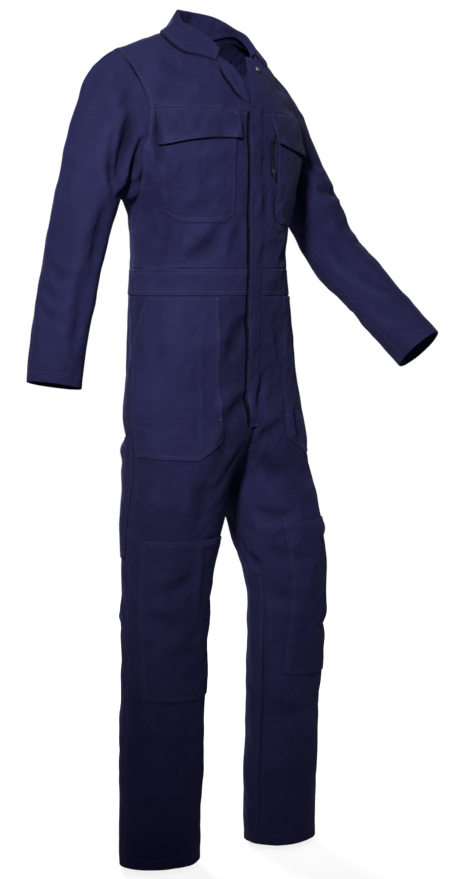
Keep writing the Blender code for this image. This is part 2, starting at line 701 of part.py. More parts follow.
def main():
    clear_scene()
    suit = bpy.data.collections.new("boiler_suit")
    bpy.context.scene.collection.children.link(suit)

    def cloth(name, data):
        material = make_material("twill_" + name, (0.026, 0.024, 0.085), 0.85)
        add_object(name, data, material, suit)

    def panel(name, point, us, vs, outward, v_end=1.0, low=0.0, sides="tblr", **wall_sizes):
        points, normals = lay_out(point, us, vs, outward, v_end, low=low)
        points = clear_of_seams(points, HALF_GAP, sides=sides)
        cloth(name, wall(name, points, normals, **wall_sizes))

    levels = armhole_levels()
    front_vs = [(z - YOKE_Z) / (WAIST_TOP_Z - YOKE_Z) for z in levels[YOKE_ROWS:]]
    front_vs += spread(front_vs[-1], 1, 6)[1:]
    for side, name in SIDE_NAMES.items():
        panel("front_" + name, front_panel(side), spread(0, 1, COLUMNS), front_vs, -side)
        panel("front_yoke_" + name, yoke_panel(side), spread(0, 1, COLUMNS),
              spread(0, 1, YOKE_ROWS), side)
        panel("waistband_front_" + name, band_panel(side, FRONT), spread(0, 1, COLUMNS),
              (0, 1), -side, out=WAISTBAND_PROUD, thickness=CLOTH + WAISTBAND_PROUD)
        for face, face_name in ((FRONT, "front"), (BACK, "back")):
            zs = spread(WAIST_Z, -0.62, 6) + spread(-0.62, CROTCH_Z, 5)[1:]
            zs += spread(CROTCH_Z, -1.0, 6)[1:] + spread(-1.0, HEM_Z, 5)[1:]
            vs = [(z - WAIST_Z) / (HEM_Z - WAIST_Z) for z in zs]
            panel(f"leg_{face_name}_{name}", leg_panel(side, face), spread(0, 1, 10), vs,
                  side * face)

    half = spread(0, NECK_SHARE, 3) + spread(NECK_SHARE, 1, COLUMNS)[1:]
    back_us = [-u for u in reversed(half)] + half[1:]
    back_vs = [(z - WAIST_TOP_Z) / (YOKE_Z - WAIST_TOP_Z) for z in reversed(levels[YOKE_ROWS:])]
    back_vs = spread(0, back_vs[0], 6)[:-1] + back_vs
    back_vs += [1 + i / YOKE_ROWS for i in range(1, YOKE_ROWS + 1)]
    panel("back", back_panel(), back_us, back_vs, -1, v_end=2.0, low=-1.0)

    # the waistband's back half is one strip through the middle
    points, normals = [], []
    for v in (0, 1):
        row, row_normals = [], []
        for side, us in ((RIGHT, spread(1, 0, 8)), (LEFT, spread(0, 1, 8))):
            p, n = lay_out(band_panel(side, BACK), us, (v,), side)
            skip = 0 if side == RIGHT else 1
            row += p[0][skip:]
            row_normals += n[0][skip:]
        points.append(row)
        normals.append(row_normals)
    points = clear_of_seams(points, HALF_GAP)
    cloth("waistband_back", wall("waistband_back", points, normals, out=WAISTBAND_PROUD,
                                 thickness=CLOTH + WAISTBAND_PROUD))

    ring = 2 * (len(levels) - 1)
    for side, name in SIDE_NAMES.items():
        us = [i / ring for i in range(ring)]
        vs = spread(0, SLEEVE_START, 5) + spread(SLEEVE_START, 1, 8)[1:]
        points, normals = lay_out(sleeve_panel(side), us, vs, side, around=True)
        points = clear_of_seams(points, HALF_GAP * 2, closed=True, sides="t")
        cloth("sleeve_" + name, wall("sleeve_" + name, points, normals, closed=True))

    first = LAY_GAP + CLOTH
    second = first + LAY_GAP + CLOTH
    for side, name in SIDE_NAMES.items():
        chest_us = [0, 0.12, 0.3, 0.48, 0.64, 0.78, 0.88, 0.95, 1]
        panel("chest_pocket_" + name, chest_pocket(side), chest_us, spread(0, 1, 8), -side,
              out=first + LAY_GAP / 2)
        panel("chest_flap_" + name, chest_flap(side), chest_us, spread(0, 1, 4), -side,
              out=second + LAY_GAP / 2)
        hip_us = [0, 0.145, 0.29] + spread(0.29, 0.8, 4)[1:] + [0.9, 1]
        panel("hip_pocket_" + name, hip_pocket(side), hip_us, spread(0, 1, 10), -side,
              out=first + LAY_GAP / 2)
        panel("knee_pocket_" + name, leg_patch(side, KNEE_POCKETS[side]),
              spread(0, 1, 9), spread(0, 1, 6), -side, out=first + LAY_GAP * 0.7)
    panel("rule_pocket", leg_patch(RIGHT, RULE_POCKET),
          spread(0, 1, 5), spread(0, 1, 5), -RIGHT, out=first + LAY_GAP / 2)
    panel("fly_strip", fly_strip(), (0, 0.5, 1), spread(0, 0.2, 8) + spread(0.2, 1, 18)[1:],
          -1, out=WAISTBAND_PROUD + first)
    panel("turned_band", turned_band(), (0, 0.5, 1), spread(0, 1, 6), RIGHT, out=first)
    panel("chest_zip", zip_strip(), (0, 1), spread(0, 1, 4), -1, out=first)
    points, normals = collar_grid(spread(-1, 1, 28))
    cloth("collar", wall("collar", points, normals))

    x, z = STUD_PLACE
    reach = STUD_RADIUS * 0.6
    across = front_point(x + reach, z) - front_point(x - reach, z)
    down = front_point(x, z - reach) - front_point(x, z + reach)
    normal = -across.cross(down).normalized()
    base = front_point(x, z) + normal * (WAISTBAND_PROUD + first + LAY_GAP)
    stud = bmesh.new()
    turn = normal.to_track_quat("Z", "Y").to_matrix().to_4x4()
    place = Matrix.Translation(base + normal * STUD_HEIGHT / 2) @ turn
    bmesh.ops.create_cone(stud, cap_ends=True, cap_tris=False, segments=20, radius1=STUD_RADIUS,
                          radius2=STUD_RADIUS * 0.8, depth=STUD_HEIGHT, matrix=place)
    data = bpy.data.meshes.new("press_stud")
    stud.to_mesh(data)
    stud.free()
    add_object("press_stud", data, make_material("stud_metal", (0.6, 0.6, 0.62), 0.3, 1.0), suit)


main()
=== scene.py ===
import math
import random
from functools import partial

import bmesh
import bpy
import numpy as np
from mathutils import Matrix, Vector


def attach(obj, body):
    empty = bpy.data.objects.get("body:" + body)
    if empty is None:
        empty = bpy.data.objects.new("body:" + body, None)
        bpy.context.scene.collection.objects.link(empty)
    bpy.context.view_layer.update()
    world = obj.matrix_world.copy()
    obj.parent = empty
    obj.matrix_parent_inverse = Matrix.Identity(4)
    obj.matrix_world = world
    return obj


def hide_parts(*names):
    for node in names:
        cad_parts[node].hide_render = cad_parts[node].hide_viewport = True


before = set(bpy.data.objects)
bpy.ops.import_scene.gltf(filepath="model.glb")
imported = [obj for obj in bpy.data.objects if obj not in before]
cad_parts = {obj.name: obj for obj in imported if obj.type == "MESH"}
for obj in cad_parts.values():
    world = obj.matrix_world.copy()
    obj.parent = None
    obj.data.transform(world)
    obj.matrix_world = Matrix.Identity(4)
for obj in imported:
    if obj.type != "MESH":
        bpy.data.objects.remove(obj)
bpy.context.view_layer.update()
print("boiler suit: frame loaded,", len(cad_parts), "nodes")

random.seed(11)
right, left = -1, 1      # the wearer's sides, as signs of X
front, back = -1, 1      # faces of the body, as signs of Y
sideWords = {right: "right", left: "left"}
clothThickness = 0.0012
meshStep = 0.0050      # usual spacing of a cloth's vertices

# ---- the form that every piece of cloth is laid on, the same as the solids have

shoulders = dict(
    neckHalf=0.080, tipHalf=0.200, tipZ=0.008, slope=math.tan(math.radians(21)),
    ridgeNeckY=0.030, ridgeTipY=0.050, rollZ=-0.130, rollPower=1.7, leftBack=0.022,
)
levels = dict(
    yoke=-0.100, underarm=-0.250, waistTop=-0.381, waist=-0.429, flyEnd=-0.665, hem=-1.435,
)


def smoothTable(names, rows):
    # rows of named columns, read smoothly between the values of the first one; a column
    # with a star is in millimetres
    scales = np.array([1000 if name.endswith("*") else 1 for name in names.split()])
    names = names.replace("*", "").split()
    rows = np.array(sorted(rows), dtype=float) / scales
    keys = rows[:, 0]
    steps = np.diff(rows, axis=0) / np.diff(keys)[:, None]
    slopes = np.zeros_like(rows)
    slopes[0], slopes[-1] = steps[0], steps[-1]
    before, after = steps[:-1], steps[1:]
    same = before * after > 0
    total = np.where(same, before + after, 1.0)
    slopes[1:-1] = np.where(same, 2 * before * after / total, 0.0)

    def read(key, name):
        column = names.index(name)
        key = np.clip(key, keys[0], keys[-1])
        low = np.clip(np.searchsorted(keys, key) - 1, 0, len(keys) - 2)
        span = keys[low + 1] - keys[low]
        t = (key - keys[low]) / span
        a, b = rows[low, column], rows[low + 1, column]
        ma, mb = slopes[low, column] * span, slopes[low + 1, column] * span
        return ((1 + 2 * t) * (1 - t) ** 2 * a + t * (1 - t) ** 2 * ma
                + t * t * (3 - 2 * t) * b + t * t * (t - 1) * mb)

    return read


body = smoothTable("z* x* rightY* leftY* halfWidth* front* back* power turn", [
    (60, 0, 24, 24, 214, 125, 95, 2.2, 0),
    (0, 0, 24, 24, 214, 129, 112, 2.2, 0),
    (-100, 0, 21, 21, 212, 133, 128, 2.2, 0),
    (-170, 0, 21, 21, 203, 134, 128, 2.2, 0),
    (-250, 0, 20, 20, 175, 132, 125, 2.2, 0),
    (-290, 0, 19, 19, 157, 131, 121, 2.15, 0),
    (-340, 0, 19, 19, 152, 131, 119, 2.15, 0),
    (-381, 0, 18, 18, 154, 130, 118, 2.15, 0),
    (-429, 0, 15, 15, 160, 125, 118, 2.15, 0),
    (-520, 2, 8, 8, 174, 115, 116, 2.1, 0),
    (-600, 12, 1, 1, 178, 106, 116, 2, 0),
    (-660, 45, -4, -4, 150, 104, 112, 2, 0),
    (-700, 72, -8, -8, 125, 100, 106, 2, 0),
    (-750, 101, -12, -12, 100, 95, 98, 2, 0),
    (-800, 111, -11, -28, 94, 91, 92, 2, 3),
    (-873, 120, -9, -48, 88, 83, 85, 2, 8),
    (-980, 130, -6, -59, 80, 69, 70, 2, 13),
    (-1085, 132, -5, -53, 79, 67, 67, 2, 13),
    (-1210, 134, -3, -45, 78, 65, 65, 2, 13),
    (-1340, 136, 0, -38, 77, 63, 63, 2, 13),
    (-1435, 137, 0, -35, 76, 62, 62, 2, 13),
])
armhole = smoothTable("z* x*", [
    (-250, 175), (-210, 188), (-170, 195), (-100, 195), (-30, 198), (8, 200),
])
sideSeam = smoothTable("z* degrees", [
    (-250, 90), (-300, 97), (-381, 104), (-429, 104), (-600, 99), (-800, 93), (-1000, 88),
    (-1435, 88),
])
neckRise = shoulders["slope"] * (shoulders["tipHalf"] - shoulders["neckHalf"])
neckZ = 1000 * (shoulders["tipZ"] + neckRise)
neckEdge = smoothTable("v rightX* rightZ* leftX* leftZ*", [
    (0, 0.4, -100, 0.4, -100),
    (0.125, 14, -78, 3, -78),
    (0.25, 16.5, -56, 8, -56),
    (0.375, 21, -30, 15, -30),
    (0.5, 34, -7, 24, -7),
    (0.625, 46, 2, 42, 1),
    (0.75, 58, 14, 58, 14),
    (0.875, 70, 34, 70, 34),
    (1, 80, neckZ, 80, neckZ),
])
collarLine = smoothTable("t neckX* neckRoll leafX* leafRoll foldX* foldY* foldZ*", [
    (-1, -46, 47.9, -59, 51.5, -43.5, -58.5, 13.5),
    (-0.92, -52, 44.9, -85, 45, -49, -51, 23.5),
    (-0.82, -62, 38, -110, 38, -57, -39, 37),
    (-0.68, -72, 25, -116, 25, -66, -19, 53),
    (-0.5, -80, 0, -102, 0, -63, 14, 66),
    (-0.28, -52, -25, -66, -31, -50, 42, 93),
    (0, 0, -35, 0, -43, 0, 60, 95),
    (0.28, 52, -25, 66, -31, 47, 41, 86),
    (0.5, 80, 0, 102, 0, 63, 16, 68),
    (0.68, 72, 25, 116, 25, 66, -16, 51),
    (0.82, 62, 38, 112, 38, 59, -38, 34),
    (0.92, 54, 43.5, 101, 44.5, 53, -50, 21.5),
    (1, 48, 47, 80, 50.5, 46.5, -58, 13),
])
sleeveLine = smoothTable("s rightX* rightY* rightZ* leftX* leftY* leftZ* radius*", [
    (0.3, -258, 56, -250, 262, 18, -235, 57), (0.5, -282, 64, -350, 312, -4, -333, 52.5),
    (0.75, -306, 67, -467, 346, -85, -432, 50.5), (1, -328, 66, -585, 380, -172, -532, 49),
])
sleeveShape = dict(start=0.30, reachTop=1.05, reachUnder=0.30, fall={right: -0.30, left: -0.50})


def stack(x, y, z):
    return np.stack(np.broadcast_arrays(x, y, z), axis=-1).astype(float)


def unit(vectors):
    return vectors / np.maximum(np.linalg.norm(vectors, axis=-1, keepdims=True), 1e-12)


def dot(a, b):
    return np.sum(a * b, axis=-1, keepdims=True)


def between(a, b, share):
    return a + (b - a) * share


def bell(value, width):
    return np.exp(-(value / width) ** 2)


def easeBetween(value, low, high):
    share = np.clip((value - low) / (high - low), 0.0, 1.0)
    return share * share * (3 - 2 * share)


def signedPower(value, power):
    return np.sign(value) * np.abs(value) ** power


def ridgeZ(x):
    return shoulders["tipZ"] + shoulders["slope"] * (shoulders["tipHalf"] - np.abs(x))


def ridgeY(x):
    share = (np.abs(x) - shoulders["neckHalf"]) / (shoulders["tipHalf"] - shoulders["neckHalf"])
    return between(shoulders["ridgeNeckY"], shoulders["ridgeTipY"], np.maximum(share, 0.0))


def chestPoint(x, z, face):
    x, z = np.broadcast_arrays(np.asarray(x, float), np.asarray(z, float))
    depth = np.where(face == front, body(z, "front"), body(z, "back"))
    centre, power = body(z, "leftY"), body(z, "power")
    share = np.clip(np.abs(x) / body(z, "halfWidth"), 0.0, 1.0)
    outerY = centre + face * depth * (1 - share ** power) ** (1 / power)
    rollZ, rollPower = shoulders["rollZ"], shoulders["rollPower"]
    rise = np.clip((z - rollZ) / (ridgeZ(x) - rollZ), 0.0, 1.0)
    spread = (1 - rise ** rollPower) ** (1 / rollPower)
    y = ridgeY(x) * (1 - spread) + outerY * spread
    drawn = shoulders["leftBack"] * easeBetween(x, 0.030, 0.190)
    return stack(x, y + drawn * easeBetween(z, levels["underarm"], -0.04), z)


def rolledPoint(x, roll):
    z = between(shoulders["rollZ"], ridgeZ(x), np.cos(np.radians(roll)))
    return chestPoint(x, z, np.where(roll > 0, front, back))


def legPoint(side, degrees, z):
    degrees, z = np.broadcast_arrays(np.asarray(degrees, float), np.asarray(z, float))
    word = sideWords[side]
    x, y, power = body(z, "x"), body(z, word + "Y"), body(z, "power")
    across = body(z, "halfWidth") * signedPower(np.sin(np.radians(degrees)), 2 / power)
    cosine = signedPower(np.cos(np.radians(degrees)), 2 / power)
    along = -cosine * np.where(cosine > 0, body(z, "front"), body(z, "back"))
    turn = np.radians(body(z, "turn"))
    turnedX = across * np.cos(turn) - along * np.sin(turn)
    turnedY = across * np.sin(turn) + along * np.cos(turn)
    return stack(side * (x + turnedX), y + turnedY, z)


def degreesAtShare(share, z):
    return np.degrees(np.arcsin(signedPower(np.clip(share, -1.0, 1.0), body(z, "power") / 2)))


def middleDegrees(z, gap=0.0003):
    return -degreesAtShare((body(z, "x") - gap) / body(z, "halfWidth"), z)


def degreesAtX(side, x, z):
    return degreesAtShare((side * x - body(z, "x")) / body(z, "halfWidth"), z)


def frontPoint(x, z):
    # a place on the suit's front, from the neck down to the crotch
    x, z = np.broadcast_arrays(np.asarray(x, float), np.asarray(z, float))
    above = chestPoint(x, z, front)
    rightSide, leftSide = (legPoint(side, degreesAtX(side, x, z), z) for side in (right, left))
    below = np.where((x > 0)[..., None], leftSide, rightSide)
    return np.where((z > levels["waist"])[..., None], above, below)


def shoulderRise(v):
    lowest = math.asin((levels["yoke"] - shoulders["rollZ"]) / (shoulders["tipZ"] - shoulders["rollZ"]))
    return np.sin(between(lowest, math.pi / 2, v))


def armholeZ(v):
    return between(shoulders["rollZ"], shoulders["tipZ"], shoulderRise(v))


def outerX(z):
    return np.where(z > levels["underarm"], armhole(z, "x"), body(z, "halfWidth"))


def evenShare(u, z):
    # keeps a panel's columns unbroken where its section's corners start, at the underarm
    drawn = np.degrees(np.arcsin(np.sin(np.radians(90 * u)) ** (body(z, "power") / 2))) / 90
    return between(u, drawn, easeBetween(z, -0.34, levels["underarm"]))


def torsoPoint(side, u, z, face):
    # above the underarm a column ends at the armhole, below it at the side seam
    x = side * outerX(z) * np.sin(np.radians(90 * u))
    upper = chestPoint(x, z, face)
    seam = sideSeam(z, "degrees")
    turned = evenShare(u, z) * np.where(face == front, seam, 180 - seam)
    turned = np.where(face == front, turned, 180 - turned)
    lower = np.where((side == left)[..., None], legPoint(left, turned, z), legPoint(right, turned, z))
    return np.where((z > levels["underarm"])[..., None], upper, lower)


def frontPanel(side, u, v):
    z = between(levels["yoke"], levels["waistTop"], v)
    u = 0.0015 + 0.9985 * u
    return torsoPoint(np.full_like(z, side), u, z, front)


def yokePanel(side, u, v):
    word = sideWords[side]
    x0, z0 = neckEdge(v, word + "X"), neckEdge(v, word + "Z")
    z1 = armholeZ(v)
    x1 = outerX(z1)
    start = np.arcsin(x0 / x1)
    x = x1 * np.sin(between(start, math.pi / 2, u))
    return chestPoint(side * x, z0 + (z1 - z0) * (x - x0) / (x1 - x0), front)


neckShare = math.degrees(math.asin(shoulders["neckHalf"] / shoulders["tipHalf"])) / 90


def backPanel(u, v):
    side = np.where(u > 0, left, right)
    z = between(levels["waistTop"], levels["yoke"], np.minimum(v, 1.0))
    lower = torsoPoint(side, np.abs(u), z, back)
    highV = np.maximum(v - 1.0, 0.0)
    sine = np.sin(np.radians(90 * u))
    t = np.clip(0.5 * u / neckShare, -0.5, 0.5)
    neckX = collarLine(t, "neckX")
    edgeZ = rolledPoint(neckX, np.minimum(collarLine(t, "neckRoll"), 0.0))[..., 2]
    atNeck = np.abs(u) < neckShare
    topX = np.where(atNeck, neckX, sine * shoulders["tipHalf"])
    topZ = np.where(atNeck, edgeZ, ridgeZ(sine * shoulders["tipHalf"]))
    lowest = shoulderRise(0.0)
    rise = (shoulderRise(highV) - lowest) / (1 - lowest)
    x = outerX(armholeZ(highV)) * sine + (topX - sine * shoulders["tipHalf"]) * rise
    upper = chestPoint(x, between(levels["yoke"], topZ, rise), back)
    return np.where((v > 1)[..., None], upper, lower)


def halfPanel(side, face, topZ, lowZ, u, v):
    # half of a waistband, or a leg's front or back, from the middle (u = 0) to the side seam
    z = between(topZ, lowZ, v)
    start, seam = middleDegrees(z), sideSeam(z, "degrees")
    if face == front:
        return legPoint(side, between(start, seam, u), z)
    return legPoint(side, 180 - between(start, 180 - seam, u), z)


def sleeveAxis(side, s):
    axes = (sleeveLine(s, sideWords[side] + axis) for axis in "XYZ")
    return stack(*axes), sleeveLine(s, "radius")


def sleeveRing(side, degrees, s):
    # 0 degrees is a sleeve's outer side, 90 its front and 180 its underside
    start, step = sleeveShape["start"], 0.02
    centre, radius = sleeveAxis(side, s)
    first = s - step < start
    ahead = sleeveAxis(side, np.where(first, start + 2 * step, np.minimum(s + step, 1)))[0]
    behind = sleeveAxis(side, np.where(first, start, s - step))[0]
    along = unit(ahead - behind)
    outer = np.broadcast_to(np.array([side, 0.1, 0.35]), along.shape)
    outer = unit(outer - along * dot(outer, along))
    forward = np.cross(outer, along) * -side
    angle = np.radians(degrees)[..., None]
    return centre + radius[..., None] * (np.cos(angle) * outer + np.sin(angle) * forward), along


armholeLevels = np.concatenate([
    armholeZ(np.linspace(1, 0, 9))[:-1], np.linspace(levels["yoke"], levels["underarm"], 6)])


def armholePoint(side, turn):
    share = np.where(turn <= 1, turn, 2 - turn) * (len(armholeLevels) - 1)
    z = np.interp(share, np.arange(len(armholeLevels)), armholeLevels)
    return chestPoint(side * outerX(z), z, np.where(turn <= 1, front, back))


def sleevePanel(side, u, v):
    # u runs round from the underarm seam by the back, the outer side and the front
    turn = (2 * u + 1.0) % 2.0
    degrees = 180 * turn
    start = sleeveShape["start"]
    below = sleeveRing(side, degrees, np.maximum(v, start))[0]
    begin = armholePoint(side, turn)
    end, along = sleeveRing(side, degrees, np.full_like(v, start))
    span = np.linalg.norm(end - begin, axis=-1, keepdims=True)
    topness = ((1 + np.cos(np.radians(degrees))) / 2)[..., None]
    reach = between(sleeveShape["reachUnder"], sleeveShape["reachTop"], topness)
    leave = unit(np.array([side, 0, sleeveShape["fall"][side]], float)) * span * reach
    leave = leave + along * span * (1 - topness)
    t = np.clip(v / start, 0, 1)[..., None]
    above = (begin * (1 + 2 * t) * (1 - t) ** 2 + leave * t * (1 - t) ** 2
             + end * t * t * (3 - 2 * t) + along * span * t * t * (t - 1))
    return np.where((v < start)[..., None], above, below)


# ---- cloth: a grid whose vertices are placed by a panel's function, then drawn into folds

sewing = dict(
    close=0.0016, far=0.0074,      # the two rows of a double-stitched seam, from its edge
    hem=0.0180, collar=0.0060,      # where a hem and the collar's edge are stitched
    groove=0.00035, dip=0.0010, felled=0.0006,
    pucker=0.00035, puckerSize=0.0085, drawn=0.009,
)
edgeLines = dict(
    double=(0.0006, 0.0016, 0.0026, 0.0045, 0.0064, 0.0074, 0.0086, 0.0105),
    single=(0.0006, 0.0016, 0.0028, 0.0045),
    plain=(0.0006, 0.0016),
    lap=(0.0006, 0.0016, 0.0028, 0.0185, 0.0203, 0.0214, 0.0224, 0.0234, 0.0245, 0.0258, 0.0274),
    hem=(0.0006, 0.0016, 0.0165, 0.0180, 0.0195),
    collar=(0.0006, 0.0016, 0.0048, 0.0060, 0.0072),
)
# an edge's grooves, as distance and width, and which of its lines of vertices carry thread
closeRow = (sewing["close"], 0.0009)
groovesOf = dict(double=(closeRow, (sewing["far"], 0.0009)), single=(closeRow,), lap=(closeRow,),
                 hem=((sewing["hem"], 0.0011),), collar=((sewing["collar"], 0.0011),), plain=())
rowsOf = dict(double=(2, 6), single=(2,), lap=(2,), hem=(4,), collar=(4,), plain=())
sampleCount = 81      # rows and columns in which a panel is measured
fullHollow = 0.0023      # the depth at which a narrow hollow looks darkest
creases, hollows = [], []      # filled further down, before the first piece is made


def linesAcross(length, step, lowEdge, highEdge):
    # distances of a row's vertices from its first edge: closer together beside a sewn edge
    low, high = edgeLines[lowEdge], edgeLines[highEdge]
    count = max(int(np.max(length) / step), 2)
    inner = np.linspace(0, 1, count + 1)
    length = length[..., None]
    first = low[-1] + 0.003
    last = high[-1] + 0.003
    middle = first + (length - first - last) * inner
    parts = [np.zeros_like(length)]
    parts += [np.full_like(length, d) for d in low] + [middle]
    parts += [length - d for d in reversed(high)] + [length]
    return np.concatenate(parts, axis=-1)


def lengthsAlong(points, axis):
    # how far every point is from the first one of its column (axis 0) or row (axis 1)
    steps = np.linalg.norm(np.diff(points, axis=axis), axis=-1)
    return np.insert(np.cumsum(steps, axis=axis), 0, 0.0, axis=axis)


def gridShares(place, uRange, vRange, step, edges):
    # u and v of every vertex, so that the vertices lie evenly and beside the edges as asked
    us, vs = np.linspace(*uRange, sampleCount), np.linspace(*vRange, sampleCount)
    points = place(*np.meshgrid(us, vs))
    columnLength, rowLength = lengthsAlong(points, 0), lengthsAlong(points, 1)
    down = linesAcross(columnLength[-1], step, edges["top"], edges["bottom"])
    vAt = np.stack([np.interp(down[c], columnLength[:, c], vs) for c in range(sampleCount)])
    across = linesAcross(rowLength[:, -1], step, edges["start"], edges["end"])
    uAt = np.stack([np.interp(across[r], rowLength[r], us) for r in range(sampleCount)])
    rows, columns = vAt.shape[1], uAt.shape[1]
    v = np.repeat(np.mean(vAt, axis=0)[:, None], columns, axis=1)
    u = np.zeros((rows, columns))
    for turn in range(2):
        for c in range(columns):
            u[:, c] = np.interp(v[:, c], vs, uAt[:, c])
        for r in range(rows):
            v[r] = np.interp(u[r], us, vAt[:, r])
    return u, v


def gridNormals(points, closed=False):
    if closed:
        ring = points[:, :-1]
        across = np.roll(ring, -1, axis=1) - np.roll(ring, 1, axis=1)
        across = np.concatenate([across, across[:, :1]], axis=1)
    else:
        across = np.gradient(points, axis=1)
    return unit(np.cross(unit(across), unit(np.gradient(points, axis=0))))


waves = [(np.array([random.gauss(0, 1) for axis in range(3)]), random.uniform(0, 6.3))
         for wave in range(14)]


def unevenness(points, size):
    # slow swells with no direction of their own, between about -1 and 1
    total = 0.0
    for number, (direction, phase) in enumerate(waves):
        scale = size * (0.7 + 0.08 * number)
        total = total + np.sin(points @ direction * (3.6 / scale) + phase)
    return total / 5.0


# the profile of a fold, in widths of it: where its near and far sides rise, and how broadly
foldSides = dict(near=1.9, nearWidth=1.15, far=-2.1, farWidth=1.2, farShare=0.3)
swells = ((0.0016, 0.075, 0.0), (0.0008, 0.033, 3.1))      # height, size and shift of each


def drawIn(points, normals):
    # how far the creases and the slow swells move each vertex along its normal
    swell = sum(height * unevenness(points + shift, size) for height, size, shift in swells)
    return swell + pressed(points, normals, creases)


def pressed(points, normals, listed):
    # listed: lines on the cloth, each with a width, a depth and how far its sides rise
    sides = foldSides
    flat = points.reshape(-1, 3)
    flatNormals = normals.reshape(-1, 3)
    total = np.zeros(len(flat))
    for crease in listed:
        line, width, depth = crease["line"], crease["width"], crease["depth"]
        reach = width * 5
        inside = np.all((flat > line.min(axis=0) - reach) & (flat < line.max(axis=0) + reach), axis=1)
        chosen = np.flatnonzero(inside)
        if not len(chosen):
            continue
        near = flat[chosen]
        start, along = line[:-1], np.diff(line, axis=0)
        length = np.maximum(np.sum(along ** 2, axis=1), 1e-12)
        offset = near[:, None, :] - start[None]
        share = np.clip(np.sum(offset * along[None], axis=2) / length, 0, 1)
        away = offset - share[..., None] * along[None]
        distance = np.linalg.norm(away, axis=2)
        nearest = np.argmin(distance, axis=1)
        row = np.arange(len(near))
        place = (nearest + share[row, nearest]) / len(along)
        side = np.sum(np.cross(unit(along[nearest]), flatNormals[chosen]) * away[row, nearest], axis=1)
        spread = width * (0.75 + 0.5 * np.sin(math.pi * place))
        x = np.sign(side) * distance[row, nearest] / spread
        taper = np.sin(math.pi * np.clip(place, 0, 1)) ** 0.7
        shape = -bell(x, 1) + crease["ridge"] * bell(x - sides["near"], sides["nearWidth"])
        shape = shape + sides["farShare"] * crease["ridge"] * bell(x - sides["far"], sides["farWidth"])
        total[chosen] += depth * taper * shape
    return total.reshape(points.shape[:-1])


def seamShape(distance, kind):
    # the depth of an edge's dip and of the grooves that its stitches draw
    shape = -sewing["dip"] * bell(distance, 0.0009)
    for row, width in groovesOf[kind]:
        shape -= sewing["groove"] * bell(distance - row, width)
    return shape


crotchSeam = dict(middle=-0.708, reach=0.050, width=0.006, share=0.93)


def drawnShut(points):
    # the share of its distance from the middle that cloth keeps beside the crotch seam
    level = (points[..., 2] - crotchSeam["middle"]) / crotchSeam["reach"]
    beside = points[..., 0] / crotchSeam["width"]
    return 1 - crotchSeam["share"] * np.exp(-beside ** 2 - level ** 4)


def gridOf(rows, columns):
    bm = bmesh.new()
    bm.loops.layers.uv.new("UVMap")
    bmesh.ops.create_grid(bm, x_segments=columns - 1, y_segments=rows - 1, size=0.5, calc_uvs=True)
    return bm


def meshOf(name, bm):
    mesh = bpy.data.meshes.new(name)
    bm.to_mesh(mesh)
    bm.free()
    return mesh


def addObject(name, data):
    obj = bpy.data.objects.new(name, data)
    bpy.context.scene.collection.objects.link(obj)
    return obj


def setSmooth(mesh, smooth=True):
    mesh.polygons.foreach_set("use_smooth", [smooth] * len(mesh.polygons))


